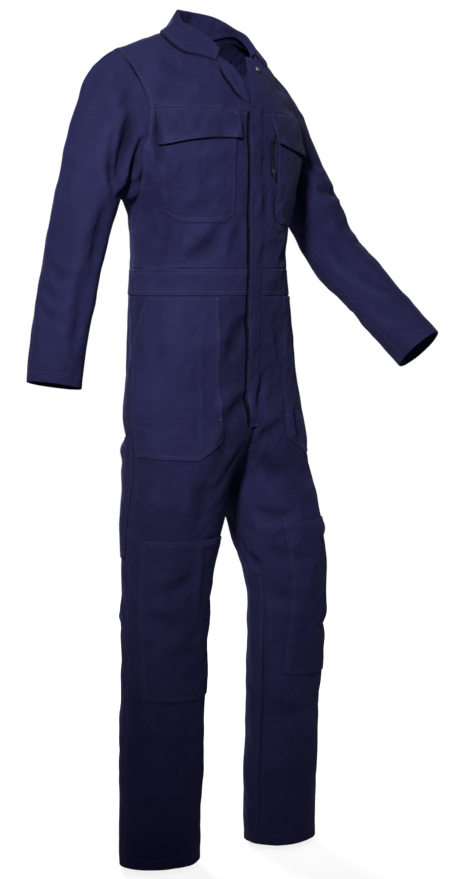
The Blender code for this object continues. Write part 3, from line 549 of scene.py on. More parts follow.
def cloth(name, place, edges, flip, uRange=(0, 1), vRange=(0, 1), out=0.0, layer=0,
          thickness=clothThickness, closed=False, felled=(), step=meshStep, relief=1.0,
          soft=None, gap=None):
    # edges: how each edge is sewn, as top, bottom, start and end (of u)
    u, v = gridShares(place, uRange, vRange, step, edges)
    points = place(u, v)
    normals = gridNormals(points, closed) * flip
    columnLength, rowLength = lengthsAlong(points, 0), lengthsAlong(points, 1)
    distance = dict(
        start=rowLength, end=rowLength[:, -1:] - rowLength,
        top=columnLength, bottom=columnLength[-1:] - columnLength,
    )
    moved = relief * drawIn(points, normals)
    narrow = pressed(points, normals, [hollow for hollow in hollows if hollow["over"] > layer])
    if gap is not None:
        narrow = narrow + gap(points)
    seam = np.zeros_like(moved)
    pucker = unevenness(points + 1.7, sewing["puckerSize"])
    for edge, kind in edges.items():
        away = distance[edge]
        narrow = narrow + seamShape(away, kind)
        if edge in felled:
            moved = moved + sewing["felled"] * easeBetween(-away, -0.0100, -0.0080)
        beside = np.exp(-away / sewing["drawn"])
        seam = np.maximum(seam, beside)
        moved = moved + sewing["pucker"] * pucker * beside * (away > 0.0002)
    if soft is not None:
        moved = moved + soft(u, v, points)
    moved = moved + narrow
    final = points + normals * (out + moved)[..., None]
    if name.startswith("leg_"):
        final[..., 0] *= drawnShut(final)
    if closed:
        final[:, -1] = final[:, 0]
    mesh = meshOf(name, gridOf(*u.shape))
    mesh.vertices.foreach_set("co", final.reshape(-1))
    corners = np.zeros(len(mesh.loops), dtype=np.int32)
    mesh.loops.foreach_get("vertex_index", corners)
    middle = u.shape[1] // 2
    flat = np.stack([rowLength - rowLength[:, middle:middle + 1],
                     np.broadcast_to(columnLength[:, middle:middle + 1], u.shape)], axis=-1)
    mesh.uv_layers[0].data.foreach_set("uv", flat.reshape(-1, 2)[corners].reshape(-1))
    # what the material reads: 1 at a seam, 400 a metre of relief, and 1 in a full hollow
    shown = dict(seam=seam, relief=moved * 400 + 0.5, hollow=np.clip(-narrow / fullHollow, 0, 1))
    for label, values in shown.items():
        data = mesh.attributes.new(label, "FLOAT", "POINT").data
        data.foreach_set("value", values.reshape(-1).astype(np.float32))
    finalNormals = gridNormals(final, closed) * flip
    sampled = mesh.polygons[len(mesh.polygons) // 2]
    outwards = np.mean([finalNormals.reshape(-1, 3)[i] for i in sampled.vertices], axis=0)
    mesh.update()
    if Vector(outwards).dot(sampled.normal) < 0:
        mesh.flip_normals()
    if closed:
        bm = bmesh.new()
        bm.from_mesh(mesh)
        bmesh.ops.remove_doubles(bm, verts=bm.verts, dist=0.00001)
        bm.to_mesh(mesh)
        bm.free()
    setSmooth(mesh)
    obj = addObject(name, mesh)
    wall = obj.modifiers.new("thickness", "SOLIDIFY")
    wall.thickness = thickness
    wall.offset = -1
    # the width is taken below a sleeve's slanting armhole
    width = float(rowLength[len(rowLength) // 5:, -1].max())
    return obj, final, finalNormals, (width, float(columnLength[-1].max()))


# ---- the folds that wearing has left, each where it starts, bends and ends, then its width,
# its depth and how far its sides rise, in millimetres; a minus depth is a ridge

folds = {}
folds["front"] = [      # x and z in millimetres
    (-185, -92, -186, -132, -181, -176, 5, 4.5, 0.3),
    (-188, -129, -182, -167, -175, -205, 8, 5.5, 0.4),
    (-162, -238, -150, -286, -148, -340, 8, 2.6, 0.4),
    (-168, -191, -163, -229, -157, -262, 7, 1.6, 0.4),
    (-76, -306, -99, -343, -131, -366, 16, 5.0, 0.7),
    (-143, -306, -148, -342, -152, -369, 8, 3.0, 0.6),
    (-40, -300, -51, -335, -66, -369, 12, 3.0, 0.6),
    (-154, -372, -148, -375, -118, -366, 3.5, 2.6, 0.8),
    (-140, -341, -147, -358, -153, -370, 8, 2.0, 0.5),
    (-194, 2, -193, -19, -194, -46, 12, 3.2, 0.5),
    (-144, 2, -134, -31, -93, -40, 16, 3.2, 0.4),
    (-186, -83, -162, -66, -122, -70, 15, 2.6, 0.5),
    (-84, -80, -67, -91, -42, -97, 6, 1.6, 0.5),
    (-125, -236, -96, -207, -63, -189, 15, 2.0, 0.4),
    (-118, -285, -95, -262, -60, -258, 17, 1.8, 0.4),
    (28, -109, 18, -104, 26, -96, 5, 1.5, 0.5),
    (62, -314, 76, -317, 92, -320, 3.5, 2.4, 0.6),
    (27, -222, 25, -267, 31, -320, 10, 2.0, 0.4),
    (44, -238, 56, -278, 68, -309, 10, 2.6, 0.5),
    (150, -232, 138, -290, 136, -352, 11, 3.4, 0.5),
    (178, -150, 172, -190, 162, -236, 10, 4.0, 0.5),
    (120, -330, 100, -352, 66, -368, 13, 3.4, 0.6),
    (150, -30, 124, -48, 84, -52, 16, 2.6, 0.4),
    (172, -70, 140, -86, 100, -84, 13, 2.0, 0.5),
]
folds["back"] = [
    (-160, -120, -128, -170, -118, -240, 17, 5.0, 0.6),
    (165, -116, 134, -160, 112, -226, 16, 4.6, 0.6),
    (-112, -304, -80, -338, -26, -350, 14, 4.4, 0.6),
    (138, -312, 84, -344, 18, -366, 14, 4.6, 0.7),
    (-120, -352, -96, -368, -60, -372, 9, 2.4, 0.5),
    (146, -346, 116, -362, 84, -370, 8, 2.6, 0.6),
    (-60, -210, -20, -262, -6, -330, 22, 3.4, 0.5),
    (48, -190, 34, -250, 50, -300, 20, 2.8, 0.5),
    (-120, -20, -60, -44, 10, -38, 18, 2.6, 0.5),
    (124, -16, 80, -50, 30, -62, 16, 2.4, 0.5),
    (-186, -60, -176, -110, -178, -160, 10, 4.0, 0.5),
    (186, -56, 176, -104, 178, -158, 10, 4.2, 0.5),
]
folds["rightLeg"] = [      # degrees round from its front and z in millimetres
    (6, -462, 15, -508, 20, -553, 15, 5.0, 0.5),
    (1, -600, 7, -628, 15, -656, 14, 5.0, 0.6),
    (40, -489, 36, -603, 26, -713, 5, -0.8, 0.5),
    (74, -517, 70, -542, 68, -566, 15, 3.0, 0.3),
    (50, -596, 46, -598, 41, -600, 3.5, 1.1, 0.6),
    (55, -631, 46, -634, 39, -633, 3.5, 1.1, 0.6),
    (89, -660, 78, -659, 71, -659, 3.5, 1.4, 0.6),
    (58, -679, 47, -681, 38, -681, 3.5, 1.2, 0.6),
    (60, -703, 51, -707, 42, -707, 3.5, 1.1, 0.6),
    (9, -738, 9, -786, 6, -835, 17, 4.0, 0.5),
    (8, -660, 4, -709, 0, -753, 15, 3.6, 0.5),
    (-18, -706, -14, -746, 2, -775, 10, 2.6, 0.5),
    (62, -742, 48, -775, 44, -812, 15, 2.4, 0.5),
    (0, -862, -12, -928, -18, -1000, 8, -3.0, 0.4),
    (2, -918, 12, -936, 36, -942, 13, 2.6, 0.5),
    (54, -890, 36, -910, 13, -915, 9, 1.8, 0.5),
    (46, -978, 26, -999, -9, -1009, 13, 2.6, 0.5),
    (32, -1048, 8, -1058, -21, -1053, 13, 2.0, 0.5),
    (-4, -862, -14, -858, -26, -860, 5, 1.8, 0.5),
    (57, -1205, 22, -1222, -16, -1218, 17, 2.2, 0.4),
    (61, -1312, 26, -1328, -34, -1322, 17, 2.0, 0.4),
    (70, -1110, 64, -1190, 66, -1280, 13, 2.2, 0.4),
    (112, -470, 116, -520, 114, -590, 10, 1.8, 0.4),
    (176, -520, 150, -566, 120, -580, 16, 4.6, 0.6),
    (170, -640, 140, -672, 112, -684, 15, 5.0, 0.7),
    (178, -706, 160, -726, 134, -730, 11, 4.0, 0.6),
    (186, -770, 164, -790, 140, -786, 13, 3.2, 0.6),
    (120, -950, 150, -976, 190, -968, 14, 4.6, 0.7),
    (114, -1010, 150, -1024, 196, -1006, 13, 4.2, 0.7),
    (122, -1070, 156, -1062, 188, -1076, 11, 2.8, 0.6),
    (130, -1200, 150, -1250, 146, -1330, 16, 2.2, 0.4),
    (-60, -800, -90, -840, -120, -850, 13, 4.0, 0.6),
    (-66, -960, -92, -990, -128, -984, 14, 3.2, 0.6),
]
folds["leftLeg"] = [
    (6, -559, 0, -604, -12, -644, 10, 3.6, 0.7),
    (10, -657, -6, -674, -22, -687, 13, 3.6, 0.6),
    (34, -636, 28, -676, 37, -719, 11, 3.4, 0.5),
    (-65, -814, -50, -827, -22, -824, 12, 4.4, 0.6),
    (-29, -717, -26, -746, -6, -758, 15, 3.4, 0.5),
    (-104, -897, -95, -914, -84, -921, 9, 6.0, 0.5),
    (-108, -862, -106, -887, -107, -916, 9, 4.4, 0.4),
    (-62, -881, -46, -901, -10, -905, 14, 2.8, 0.5),
    (-80, -964, -50, -978, -2, -977, 15, 2.8, 0.5),
    (-86, -1056, -89, -1167, -90, -1279, 10, 2.4, 0.4),
    (-68, -1166, -44, -1189, -4, -1184, 16, 2.4, 0.4),
    (-60, -1296, -30, -1310, 14, -1300, 17, 2.0, 0.4),
    (42, -506, 48, -548, 42, -590, 12, 2.6, 0.5),
    (13, -462, 20, -500, 22, -548, 13, 2.6, 0.5),
    (66, -660, 52, -700, 44, -745, 14, 3.2, 0.5),
    (50, -860, 30, -880, 6, -872, 12, 2.4, 0.5),
    (60, -1010, 30, -1040, -6, -1032, 14, 2.6, 0.5),
    (178, -528, 148, -560, 118, -572, 16, 4.4, 0.6),
    (172, -652, 142, -676, 110, -690, 15, 5.0, 0.7),
    (184, -716, 160, -738, 132, -746, 11, 4.0, 0.6),
    (108, -466, 112, -530, 104, -600, 10, 3.0, 0.5),
    (118, -940, 150, -962, 192, -956, 15, 5.0, 0.7),
    (112, -996, 150, -1014, 190, -1000, 13, 4.4, 0.7),
    (126, -1058, 160, -1054, 196, -1066, 11, 3.0, 0.6),
    (128, -1190, 148, -1240, 150, -1320, 16, 2.4, 0.4),
    (74, -780, 84, -840, 80, -900, 13, 2.6, 0.5),
    (-89, -900, -88, -1170, -90, -1425, 4.5, 1.9, 0.9),
]
folds["rightSleeve"] = [      # degrees round from the underarm seam by the back, then thousandths
    (273, 60, 283, 155, 290, 250, 12, 12, 0.5),
    (303, 50, 317, 100, 330, 160, 9, 10, 0.4),
    (259, 130, 265, 222, 290, 285, 9, 6.5, 0.5),
    (338, 112, 330, 212, 296, 300, 8, 8, 0.4),
    (271, 335, 279, 455, 279, 642, 13, 5, 0.5),
    (259, 520, 267, 722, 266, 908, 11, 3.4, 0.5),
    (200, 48, 205, 95, 199, 150, 12, 3, 0.5),
    (189, 235, 189, 350, 182, 522, 15, 2.2, 0.4),
    (183, 565, 212, 608, 246, 618, 10, 3, 0.5),
    (167, 705, 213, 768, 254, 772, 10, 2.6, 0.5),
    (180, 640, 206, 690, 230, 700, 8, 1.8, 0.5),
    (254, 30, 262, 70, 266, 110, 10, 2.8, 0.5),
    (60, 60, 78, 160, 70, 280, 11, 5.4, 0.6),
    (100, 80, 112, 160, 104, 250, 12, 4, 0.6),
    (30, 140, 50, 230, 84, 290, 10, 4.2, 0.5),
    (40, 480, 80, 520, 124, 500, 11, 4.6, 0.7),
    (30, 560, 76, 590, 120, 580, 10, 4, 0.7),
    (50, 660, 90, 650, 134, 670, 9, 2.8, 0.6),
    (20, 760, 60, 800, 110, 790, 12, 2.4, 0.5),
    (330, 420, 350, 520, 346, 640, 10, 3.4, 0.5),
]
folds["leftSleeve"] = [
    (330, 72, 317, 192, 293, 280, 9, 4.4, 0.6),
    (292, 280, 268, 322, 226, 350, 10, 5, 0.6),
    (332, 50, 333, 245, 339, 362, 10, 5.4, 0.5),
    (313, 60, 286, 180, 248, 250, 10, 3.2, 0.5),
    (314, 440, 315, 600, 330, 682, 11, 3.2, 0.5),
    (304, 600, 298, 725, 266, 800, 11, 3.4, 0.5),
    (328, 778, 319, 848, 286, 915, 11, 2.4, 0.5),
    (272, 440, 250, 470, 226, 472, 12, 2.2, 0.5),
    (276, 540, 254, 560, 230, 560, 10, 1.8, 0.5),
    (200, 60, 206, 120, 196, 200, 13, 3.2, 0.5),
    (96, 60, 106, 150, 96, 260, 12, 4.6, 0.6),
    (60, 80, 72, 180, 62, 300, 11, 5, 0.6),
    (52, 420, 84, 446, 122, 430, 12, 3.6, 0.6),
    (58, 505, 90, 524, 128, 515, 11, 3.2, 0.6),
    (62, 600, 90, 610, 120, 620, 9, 2.4, 0.6),
    (40, 740, 84, 780, 130, 770, 12, 2.6, 0.5),
    (150, 300, 168, 380, 166, 460, 13, 2.6, 0.5),
]
# the fly strip's two edges, and the turned band's fold and outer edge from its foot upwards
flyEdges = smoothTable("z* lapX* farX*", [
    (-665, -17, 19), (-600, -20.5, 19), (-130, -21.5, 19), (-83, -12.5, 25), (-60, -5, 32),
    (-34, -1, 37), (-20, 4, 40.5), (1, 12, 43.5),
])
bandEdges = smoothTable("v foldX* foldZ* outerX* outerZ*", [
    (0, 15, -82, 21, -83), (0.15, 15.8, -72, 33, -74), (0.45, 17.2, -50, 47, -50),
    (0.75, 22.5, -27, 54, -29), (1, 35.5, -6.5, 54.5, -16.5),
])
foldScale = dict(width=0.00082, depth=0.0016)
regions = dict(
    front=lambda a, b: frontPoint(a / 1000, b),
    back=lambda a, b: chestPoint(a / 1000, b, back),
    rightLeg=partial(legPoint, right),
    leftLeg=partial(legPoint, left),
    rightSleeve=lambda a, b: sleevePanel(right, a / 360, b),
    leftSleeve=lambda a, b: sleevePanel(left, a / 360, b),
)
for region, rows in folds.items():
    for *places, width, depth, ridge in rows:
        t = np.linspace(0, 1, 20)[:, None]
        start, bend, end = np.array(places, dtype=float).reshape(3, 2)
        # a curve that passes through all three places
        across = start * (1 - t) * (1 - 2 * t) + bend * 4 * t * (1 - t) + end * t * (2 * t - 1)
        line = regions[region](across[:, 0], across[:, 1] / 1000)
        creases.append(dict(line=line, width=width * foldScale["width"],
                            depth=depth * foldScale["depth"], ridge=ridge))


def hollowUnder(line, width, depth, over=1):
    # a narrow hollow beneath the free edge of what lies over the layers below the one named
    hollows.append(dict(line=line, width=width, depth=depth, ridge=0.0, over=over))


up = np.linspace(0.02, 1.0, 20)
hollowUnder(chestPoint(-bandEdges(up, "outerX") - 0.0012, bandEdges(up, "outerZ") - 0.0012, front),
            0.0026, 0.0048)
along = np.linspace(-0.99, 0.99, 60)
for part in (along[:21], along[20:41], along[40:]):
    hollowUnder(rolledPoint(collarLine(part, "leafX") * 1.01, collarLine(part, "leafRoll")),
                0.0026, 0.0034, over=2)
print(len(creases), "folds placed")


# ---- materials

def feed(tree, made, inputs):
    # each input takes a value, or the output of another node
    for name, value in inputs.items():
        if isinstance(value, bpy.types.NodeSocket):
            tree.links.new(value, made.inputs[name])
        else:
            made.inputs[name].default_value = value


def assign(thing, values):
    for name, value in values.items():
        setattr(thing, name, value)


def node(tree, kind, place, inputs=None, **values):
    made = tree.nodes.new("ShaderNode" + kind)
    made.location = place
    assign(made, values)
    feed(tree, made, inputs or {})
    return made.outputs


def startMaterial(name, inputs):
    material = bpy.data.materials.new(name)
    material.use_nodes = True
    tree = material.node_tree
    shader = tree.nodes["Principled BSDF"]
    feed(tree, shader, inputs)
    return material, tree, shader


def maths(tree, place, operation, *values, **more):
    return node(tree, "Math", place, dict(enumerate(values)), operation=operation, **more)[0]


def ranged(tree, place, value, fromRange, toRange, **more):
    inputs = {"Value": value, "From Min": fromRange[0], "From Max": fromRange[1],
              "To Min": toRange[0], "To Max": toRange[1]}
    return node(tree, "MapRange", place, inputs, **more)["Result"]


def mixed(tree, place, factor, a, b, **more):
    inputs = {"Factor": factor, "A": a, "B": b}
    return node(tree, "Mix", place, inputs, data_type="RGBA", **more)["Result"]


def clouds(tree, place, vector, scale, detail):
    inputs = {"Vector": vector, "Scale": scale, "Detail": detail}
    return node(tree, "TexNoise", place, inputs)["Fac"]


def ribs(tree, place, vector, direction, scale, **more):
    inputs = {"Vector": vector, "Scale": scale, **more}
    return node(tree, "TexWave", place, inputs, wave_type="BANDS", bands_direction=direction)["Fac"]


def bumped(tree, place, height, strength, distance, **more):
    inputs = {"Height": height, "Strength": strength, "Distance": distance, **more}
    return node(tree, "Bump", place, inputs)["Normal"]


def shaded(colour, tone=1.0):
    return tuple(c * tone for c in colour) + (1,)


unitRange = (0.0, 1.0)
twill = dict(
    shade=(0.0125, 0.0122, 0.052), lit=(0.024, 0.0235, 0.092), worn=(0.050, 0.049, 0.160),
    rib=0.0011, ribHeight=0.35, slub=0.010, roughness=0.85, sheen=0.12,
)
waveLength = 0.314      # of a wave texture whose scale is 1


def twillMaterial(name, tone=1.0):
    material, tree, shader = startMaterial(name, {
        "Sheen Weight": twill["sheen"], "Sheen Roughness": 0.45,
        "Sheen Tint": (0.30, 0.30, 0.85, 1), "Specular IOR Level": 0.12,
    })
    place = node(tree, "TexCoord", (-1500, 0))
    # the twill's diagonal rib, and the threads that cross it
    turned = node(tree, "Mapping", (-1300, 100), {
        "Vector": place["UV"], "Rotation": (0, 0, math.radians(27))})["Vector"]
    rib = ribs(tree, (-1100, 200), turned, "X", waveLength / twill["rib"],
               Distortion=0.6, Detail=1.0)
    crossing = ribs(tree, (-1100, -100), place["UV"], "Y", waveLength / (twill["rib"] * 0.6),
                    Distortion=1.0)
    slub = clouds(tree, (-1100, -400), place["UV"], 1 / twill["slub"], 3)
    fade = clouds(tree, (-1100, -700), place["Object"], 7.0, 4)
    weave = maths(tree, (-850, 150), "MULTIPLY_ADD", crossing, 0.35, rib)
    # colour: darker between the ribs, paler where folds and seams stand proud
    lean = ranged(tree, (-1050, 500), fade, (0.3, 0.7), (0.15, 0.75))
    blend = maths(tree, (-850, 400), "MULTIPLY_ADD", weave, 0.45, lean, use_clamp=True)
    base = mixed(tree, (-600, 300), blend, shaded(twill["shade"], tone), shaded(twill["lit"], tone))
    relief, seam, hollow = (
        node(tree, "Attribute", (-1100, height), attribute_name=attribute)["Fac"]
        for attribute, height in (("relief", 800), ("seam", 1000), ("hollow", 1400)))
    proud = ranged(tree, (-850, 800), relief, (0.8, 1.9), unitRange)
    soft = maths(tree, (-700, 700), "MULTIPLY", proud, 0.30)
    rub = maths(tree, (-600, 900), "MULTIPLY_ADD", seam, 0.35, soft, use_clamp=True)
    spot = maths(tree, (-400, 800), "MULTIPLY", rub, slub)
    wear = mixed(tree, (-350, 400), spot, base, shaded(twill["worn"], tone))
    # less light reaches the cloth in a fold's depth and in a seam
    deep = ranged(tree, (-850, 1200), relief, (-5.0, 0.0), (0.45, 1.0))
    pinch = ranged(tree, (-850, 1400), hollow, unitRange, (1.0, 0.06))
    dim = maths(tree, (-600, 1300), "MULTIPLY", deep, pinch)
    dimmed = mixed(tree, (-150, 500), 1.0, wear, dim, blend_type="MULTIPLY")
    rough = ranged(tree, (-350, -100), slub, unitRange,
                   (twill["roughness"] - 0.08, twill["roughness"] + 0.08))
    # crumples first, then the slubs, then the ribs
    crumple = clouds(tree, (-1100, -1000), place["Object"], 30, 5)
    limp = bumped(tree, (-750, -700), crumple, 0.50, 0.018)
    grain = bumped(tree, (-550, -500), slub, 0.25, 0.0008, Normal=limp)
    ribbed = bumped(tree, (-350, -400), weave, twill["ribHeight"], 0.0003, Normal=grain)
    feed(tree, shader, {"Base Color": dimmed, "Roughness": rough, "Normal": ribbed})
    return material


navyTwill = twillMaterial("navyTwill")
paintedShadeTwill = twillMaterial("paintedShadeTwill", 0.82)      # painted shade: a darker copy of the cloth for the right leg, standing in for the light falling off there


def finishPiece(obj, material, slotName, *nodes):
    obj.data.materials.clear()
    obj.data.materials.append(material)
    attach(obj, "root")
    if nodes:
        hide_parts(*nodes)


# ---- the panels

laidPanels = {}      # each panel's edges, points and normals
# painted shade: these right-leg pieces take the darker copy of the cloth
paintedShadePieces = ("leg_front_right", "leg_back_right", "knee_pocket_right", "rule_pocket")


def panel(name, place, kinds, flip, held="stretched", on=(), **more):
    # kinds: how its top and bottom are sewn, then the start and the end of u
    edges = dict(zip(("top", "bottom", "start", "end"), kinds.split()))
    obj, points, normals, shown = cloth(name + "Cloth", place, edges, flip, **more)
    laidPanels[name] = (edges, points, normals)
    finishPiece(obj, paintedShadeTwill if name in paintedShadePieces else navyTwill, "navy_twill", name)
    return obj


flyGap = dict(out=0.0017, width=0.0023, depth=0.0055, ends=(-0.668, -0.655))


def lapGap(points):
    # the cloth falls away under the fly strip's free edge
    x, z = points[..., 0], points[..., 2]
    beside = bell(x - flyEdges(z, "lapX") + flyGap["out"], flyGap["width"])
    return -flyGap["depth"] * beside * easeBetween(z, *flyGap["ends"])


bandLay = dict(out=0.0008, thickness=0.0022)      # a waistband is thicker than the panels
for side, word in sideWords.items():
    middle, gap = ("lap", lapGap) if side == right else ("plain", None)
    panel("front_" + word, partial(frontPanel, side), f"plain plain {middle} double", -side,
          felled=("end",), gap=gap)
    panel("front_yoke_" + word, partial(yokePanel, side), "double plain single double", side,
          felled=("top", "end"), step=meshStep * 0.6)
    panel("waistband_front_" + word, partial(halfPanel, side, front, levels["waistTop"], levels["waist"]),
          f"double double {middle} plain", -side, gap=gap, **bandLay)
    legMiddle = "lap" if side == right else "single"
    panel("leg_front_" + word, partial(halfPanel, side, front, levels["waist"], levels["hem"]),
          f"plain hem {legMiddle} double", -side, felled=("end",), gap=gap)
    panel("leg_back_" + word, partial(halfPanel, side, back, levels["waist"], levels["hem"]),
          "plain hem plain plain", side)
print("panels of the front and the legs laid")


def waistbandBack(u, v):
    z = between(levels["waistTop"], levels["waist"], v)
    degrees = 180 - between(middleDegrees(z, 0.0), 180 - sideSeam(z, "degrees"), np.abs(u))
    onLeft = legPoint(left, degrees, z)
    return np.where((u > 0)[..., None], onLeft, legPoint(right, degrees, z))


panel("back", backPanel, "plain double plain plain", -1, uRange=(-1, 1), vRange=(0, 2),
      felled=("bottom",))
panel("waistband_back", waistbandBack, "double double plain plain", 1, uRange=(-1, 1), **bandLay)
for side, word in sideWords.items():
    panel("sleeve_" + word, partial(sleevePanel, side), "plain hem single plain", side, closed=True)
print("back and sleeves laid")


# ---- what is sewn on the panels, a little out from them

layGap = 0.0008
layFirst = layGap + 0.0016      # the first layer on a panel
laySecond = 2 * layFirst

pocketEdge = smoothTable("z* x*", [
    (-302, 148.5), (-280, 154), (-250, 162.5), (-200, 175), (-150, 183), (-100, 186),
])
flapHem = smoothTable("u rightZ* leftZ*", [
    (0, -149, -154), (0.3, -149, -161), (0.6, -153, -166), (1, -165, -172),
])
flapInner = smoothTable("z* rightX* leftX*", [
    (-160, 46, 49), (-140, 46, 41), (-100, 45, 29),
])
chestPocket = dict(inner=0.054, bottom=-0.300, corner=0.016, flapTop=-0.1012, underFlap=0.012)
hipPocket = dict(top=levels["waist"] - 0.0015, mouth=-0.520, mouthStart=0.80, inner=0.081,
                 bottom=-0.722, rise=0.009, width=0.130, corner=0.038, cornerRise=0.034,
                 bagRow=-0.656)      # bagRow: the stitches across its front
# the pockets on the legs: the angles of their upright edges, from bottom to top
kneePockets = {
    right: smoothTable("z* inner outer", [(-1137.5, -65.5, 55.5), (-857.5, -50.5, 70.5)]),
    left: smoothTable("z* inner outer", [(-1118, -56.5, 64.5), (-839.5, -40.5, 80.5)]),
}
kneeLevels = {right: (-0.8575, -1.1375), left: (-0.8395, -1.1180)}
rulePocket = smoothTable("z* inner outer", [(-894, 98, 152), (-680, 98, 152)])
zipPlace = dict(x=(0.0325, 0.0405), z=(-0.148, -0.214))


def chestPocketPanel(side, u, v):
    width = pocketEdge(chestPocket["bottom"], "x") - chestPocket["inner"]
    cut = np.maximum(chestPocket["corner"] - width * np.minimum(u, 1 - u), 0)
    top = chestPocket["flapTop"] - chestPocket["underFlap"]
    z = between(top, chestPocket["bottom"] + cut, v)
    return chestPoint(side * between(chestPocket["inner"], pocketEdge(z, "x"), u), z, front)


def chestFlapPanel(side, u, v):
    word, top = sideWords[side], chestPocket["flapTop"]
    z = between(top, flapHem(u, word + "Z"), v)
    x = between(flapInner(z, word + "X"), pocketEdge(z, "x") + 0.002, u)
    return chestPoint(side * x, z, front)


def hipPocketPanel(side, u, v):
    p = hipPocket
    mouth = np.clip((u - p["mouthStart"]) / (1 - p["mouthStart"]), 0, 1)
    top = p["top"] + (p["mouth"] - levels["waist"]) * mouth
    cut = np.maximum(1 - u * p["width"] / p["corner"], 0)
    bottom = p["bottom"] + p["rise"] * u + p["cornerRise"] * cut
    z = between(top, bottom, v)
    inner = degreesAtX(side, side * p["inner"], z)
    return legPoint(side, between(inner, sideSeam(z, "degrees") - 2.5, u), z)


def legPatch(side, edges, span, sag, u, v):
    z = between(span[0], span[1] - sag * np.sin(math.pi * u), v)
    return legPoint(side, between(edges(z, "inner"), edges(z, "outer"), u), z)


def flyPlace(u, v):
    z = between(0.001, levels["flyEnd"], v)
    return frontPoint(between(flyEdges(z, "lapX"), flyEdges(z, "farX"), u), z)


def bandPlace(u, v):
    x, z = (between(bandEdges(v, "fold" + axis), bandEdges(v, "outer" + axis), u) for axis in "XZ")
    return chestPoint(-x, z, front)


def zipPlacing(u, v):
    return chestPoint(between(*zipPlace["x"], u), between(*zipPlace["z"], v), front)


def bulge(height, u, v, points):
    # a pocket stands off a little in its middle, more towards its lower part
    return height * (np.sin(math.pi * u) * np.sin(math.pi * np.clip(v, 0, 1) ** 1.3)) ** 0.8


def loose(u, v, points):
    # a flap's hem lifts in two slow waves
    return 0.0050 * v ** 2 * (0.6 + 0.5 * np.sin(2.4 + 6.5 * u) + 0.25 * np.sin(15 * u))


def lapping(u, v, points):
    # the strip's free edge is rolled and stands off, its sewn edge runs into the left front
    return 0.0009 * bell(u, 0.10) - 0.0042 * easeBetween(u, 0.55, 1.0)


def laid(height):
    # what the pieces sewn on a panel have in common
    return dict(held="laid", layer=1, out=layFirst, soft=partial(bulge, height))


across = np.linspace(0, 1, 24)
for side in (right, left):
    hem = chestFlapPanel(side, across, np.ones(24))
    hollowUnder(hem - (0, 0, 0.0016), 0.0019, 0.0030, over=2)
for side, word in sideWords.items():
    panel("chest_pocket_" + word, partial(chestPocketPanel, side), "plain double double double",
          -side, on=["front_" + word], step=meshStep * 0.5, **laid(0.0016))
    panel("chest_flap_" + word, partial(chestFlapPanel, side), "single single single single",
          -side, held="laid", on=["chest_pocket_" + word], out=laySecond, soft=loose,
          step=meshStep * 0.6, thickness=0.0018, layer=2)
    panel("hip_pocket_" + word, partial(hipPocketPanel, side), "plain double double plain",
          -side, on=["leg_front_" + word], step=meshStep * 0.6, **laid(0.0012))
    panel("knee_pocket_" + word, partial(legPatch, side, kneePockets[side], kneeLevels[side], 0.005),
          "double double double double", -side, on=["leg_front_" + word], **laid(0.0008))
panel("rule_pocket", partial(legPatch, right, rulePocket, (-0.680, -0.894), 0.0),
      "double double double double", 1, on=["leg_back_right"], **laid(0.0010))
panel("fly_strip", flyPlace, "single single single plain", -1, held="laid",
      on=["front_left", "leg_front_left"], out=layGap + layFirst, thickness=0.0018,
      step=meshStep * 0.8, soft=lapping, layer=2)
panel("turned_band", bandPlace, "plain plain single plain", -1, held="folded",
      on=["front_yoke_right"], out=layFirst, step=meshStep * 0.6, layer=1)
print("pockets, flaps, fly strip and turned band laid")


# ---- the collar: up its stand, over the fold and down its leaf

collarForm = dict(foldRadius=0.003, leafClear=0.004, standBelow=0.0025, standInside=0.0058,
                  middle=(0.0, 0.010, 0.0), thickness=0.0016, sections=240)


def collarProfile(t):
    edge = rolledPoint(collarLine(t, "neckX"), collarLine(t, "neckRoll"))
    inwards = (np.array(collarForm["middle"]) - edge) * (1, 1, 0)
    foot = edge + unit(inwards) * collarForm["standInside"]
    foot[2] -= collarForm["standBelow"]
    x, roll = collarLine(t, "leafX"), collarLine(t, "leafRoll")
    across = rolledPoint(x + 0.002, roll) - rolledPoint(x - 0.002, roll)
    forward = rolledPoint(x, roll + 2) - rolledPoint(x, roll - 2)
    tip = rolledPoint(x, roll) + unit(np.cross(forward, across)) * collarForm["leafClear"]
    top = np.array([collarLine(t, "fold" + axis) for axis in "XYZ"])
    up = unit(unit(top - foot) + unit(top - tip) * 0.6)
    out = unit((tip - foot) - up * np.dot(tip - foot, up))
    radius = collarForm["foldRadius"]
    centre = top - up * radius
    turned = [math.pi * step / 6 for step in range(7)]
    arc = [centre - out * radius * math.cos(a) + up * radius * math.sin(a) for a in turned]
    stand = [between(foot, arc[0], share) for share in (0, 0.3, 0.6, 0.85)]
    leaf = [between(arc[-1], tip, share) for share in (0.12, 0.35, 0.65, 1.0)]
    return np.array(stand + arc + leaf)


collarTs = np.linspace(-1, 1, collarForm["sections"] + 1)
collarSections = np.array([collarProfile(t) for t in collarTs])


def collarPlace(u, v):
    sections = collarSections
    wide, high = sections.shape[0] - 1, sections.shape[1] - 1
    across = np.clip((u + 1) / 2 * wide, 0, wide - 0.0001)
    low, share = across.astype(int), (across % 1)[..., None]
    down = np.clip(v * high, 0, high - 0.0001)
    row, part = down.astype(int), (down % 1)[..., None]
    upper = sections[low, row] * (1 - share) + sections[low + 1, row] * share
    lower = sections[low, row + 1] * (1 - share) + sections[low + 1, row + 1] * share
    return upper * (1 - part) + lower * part


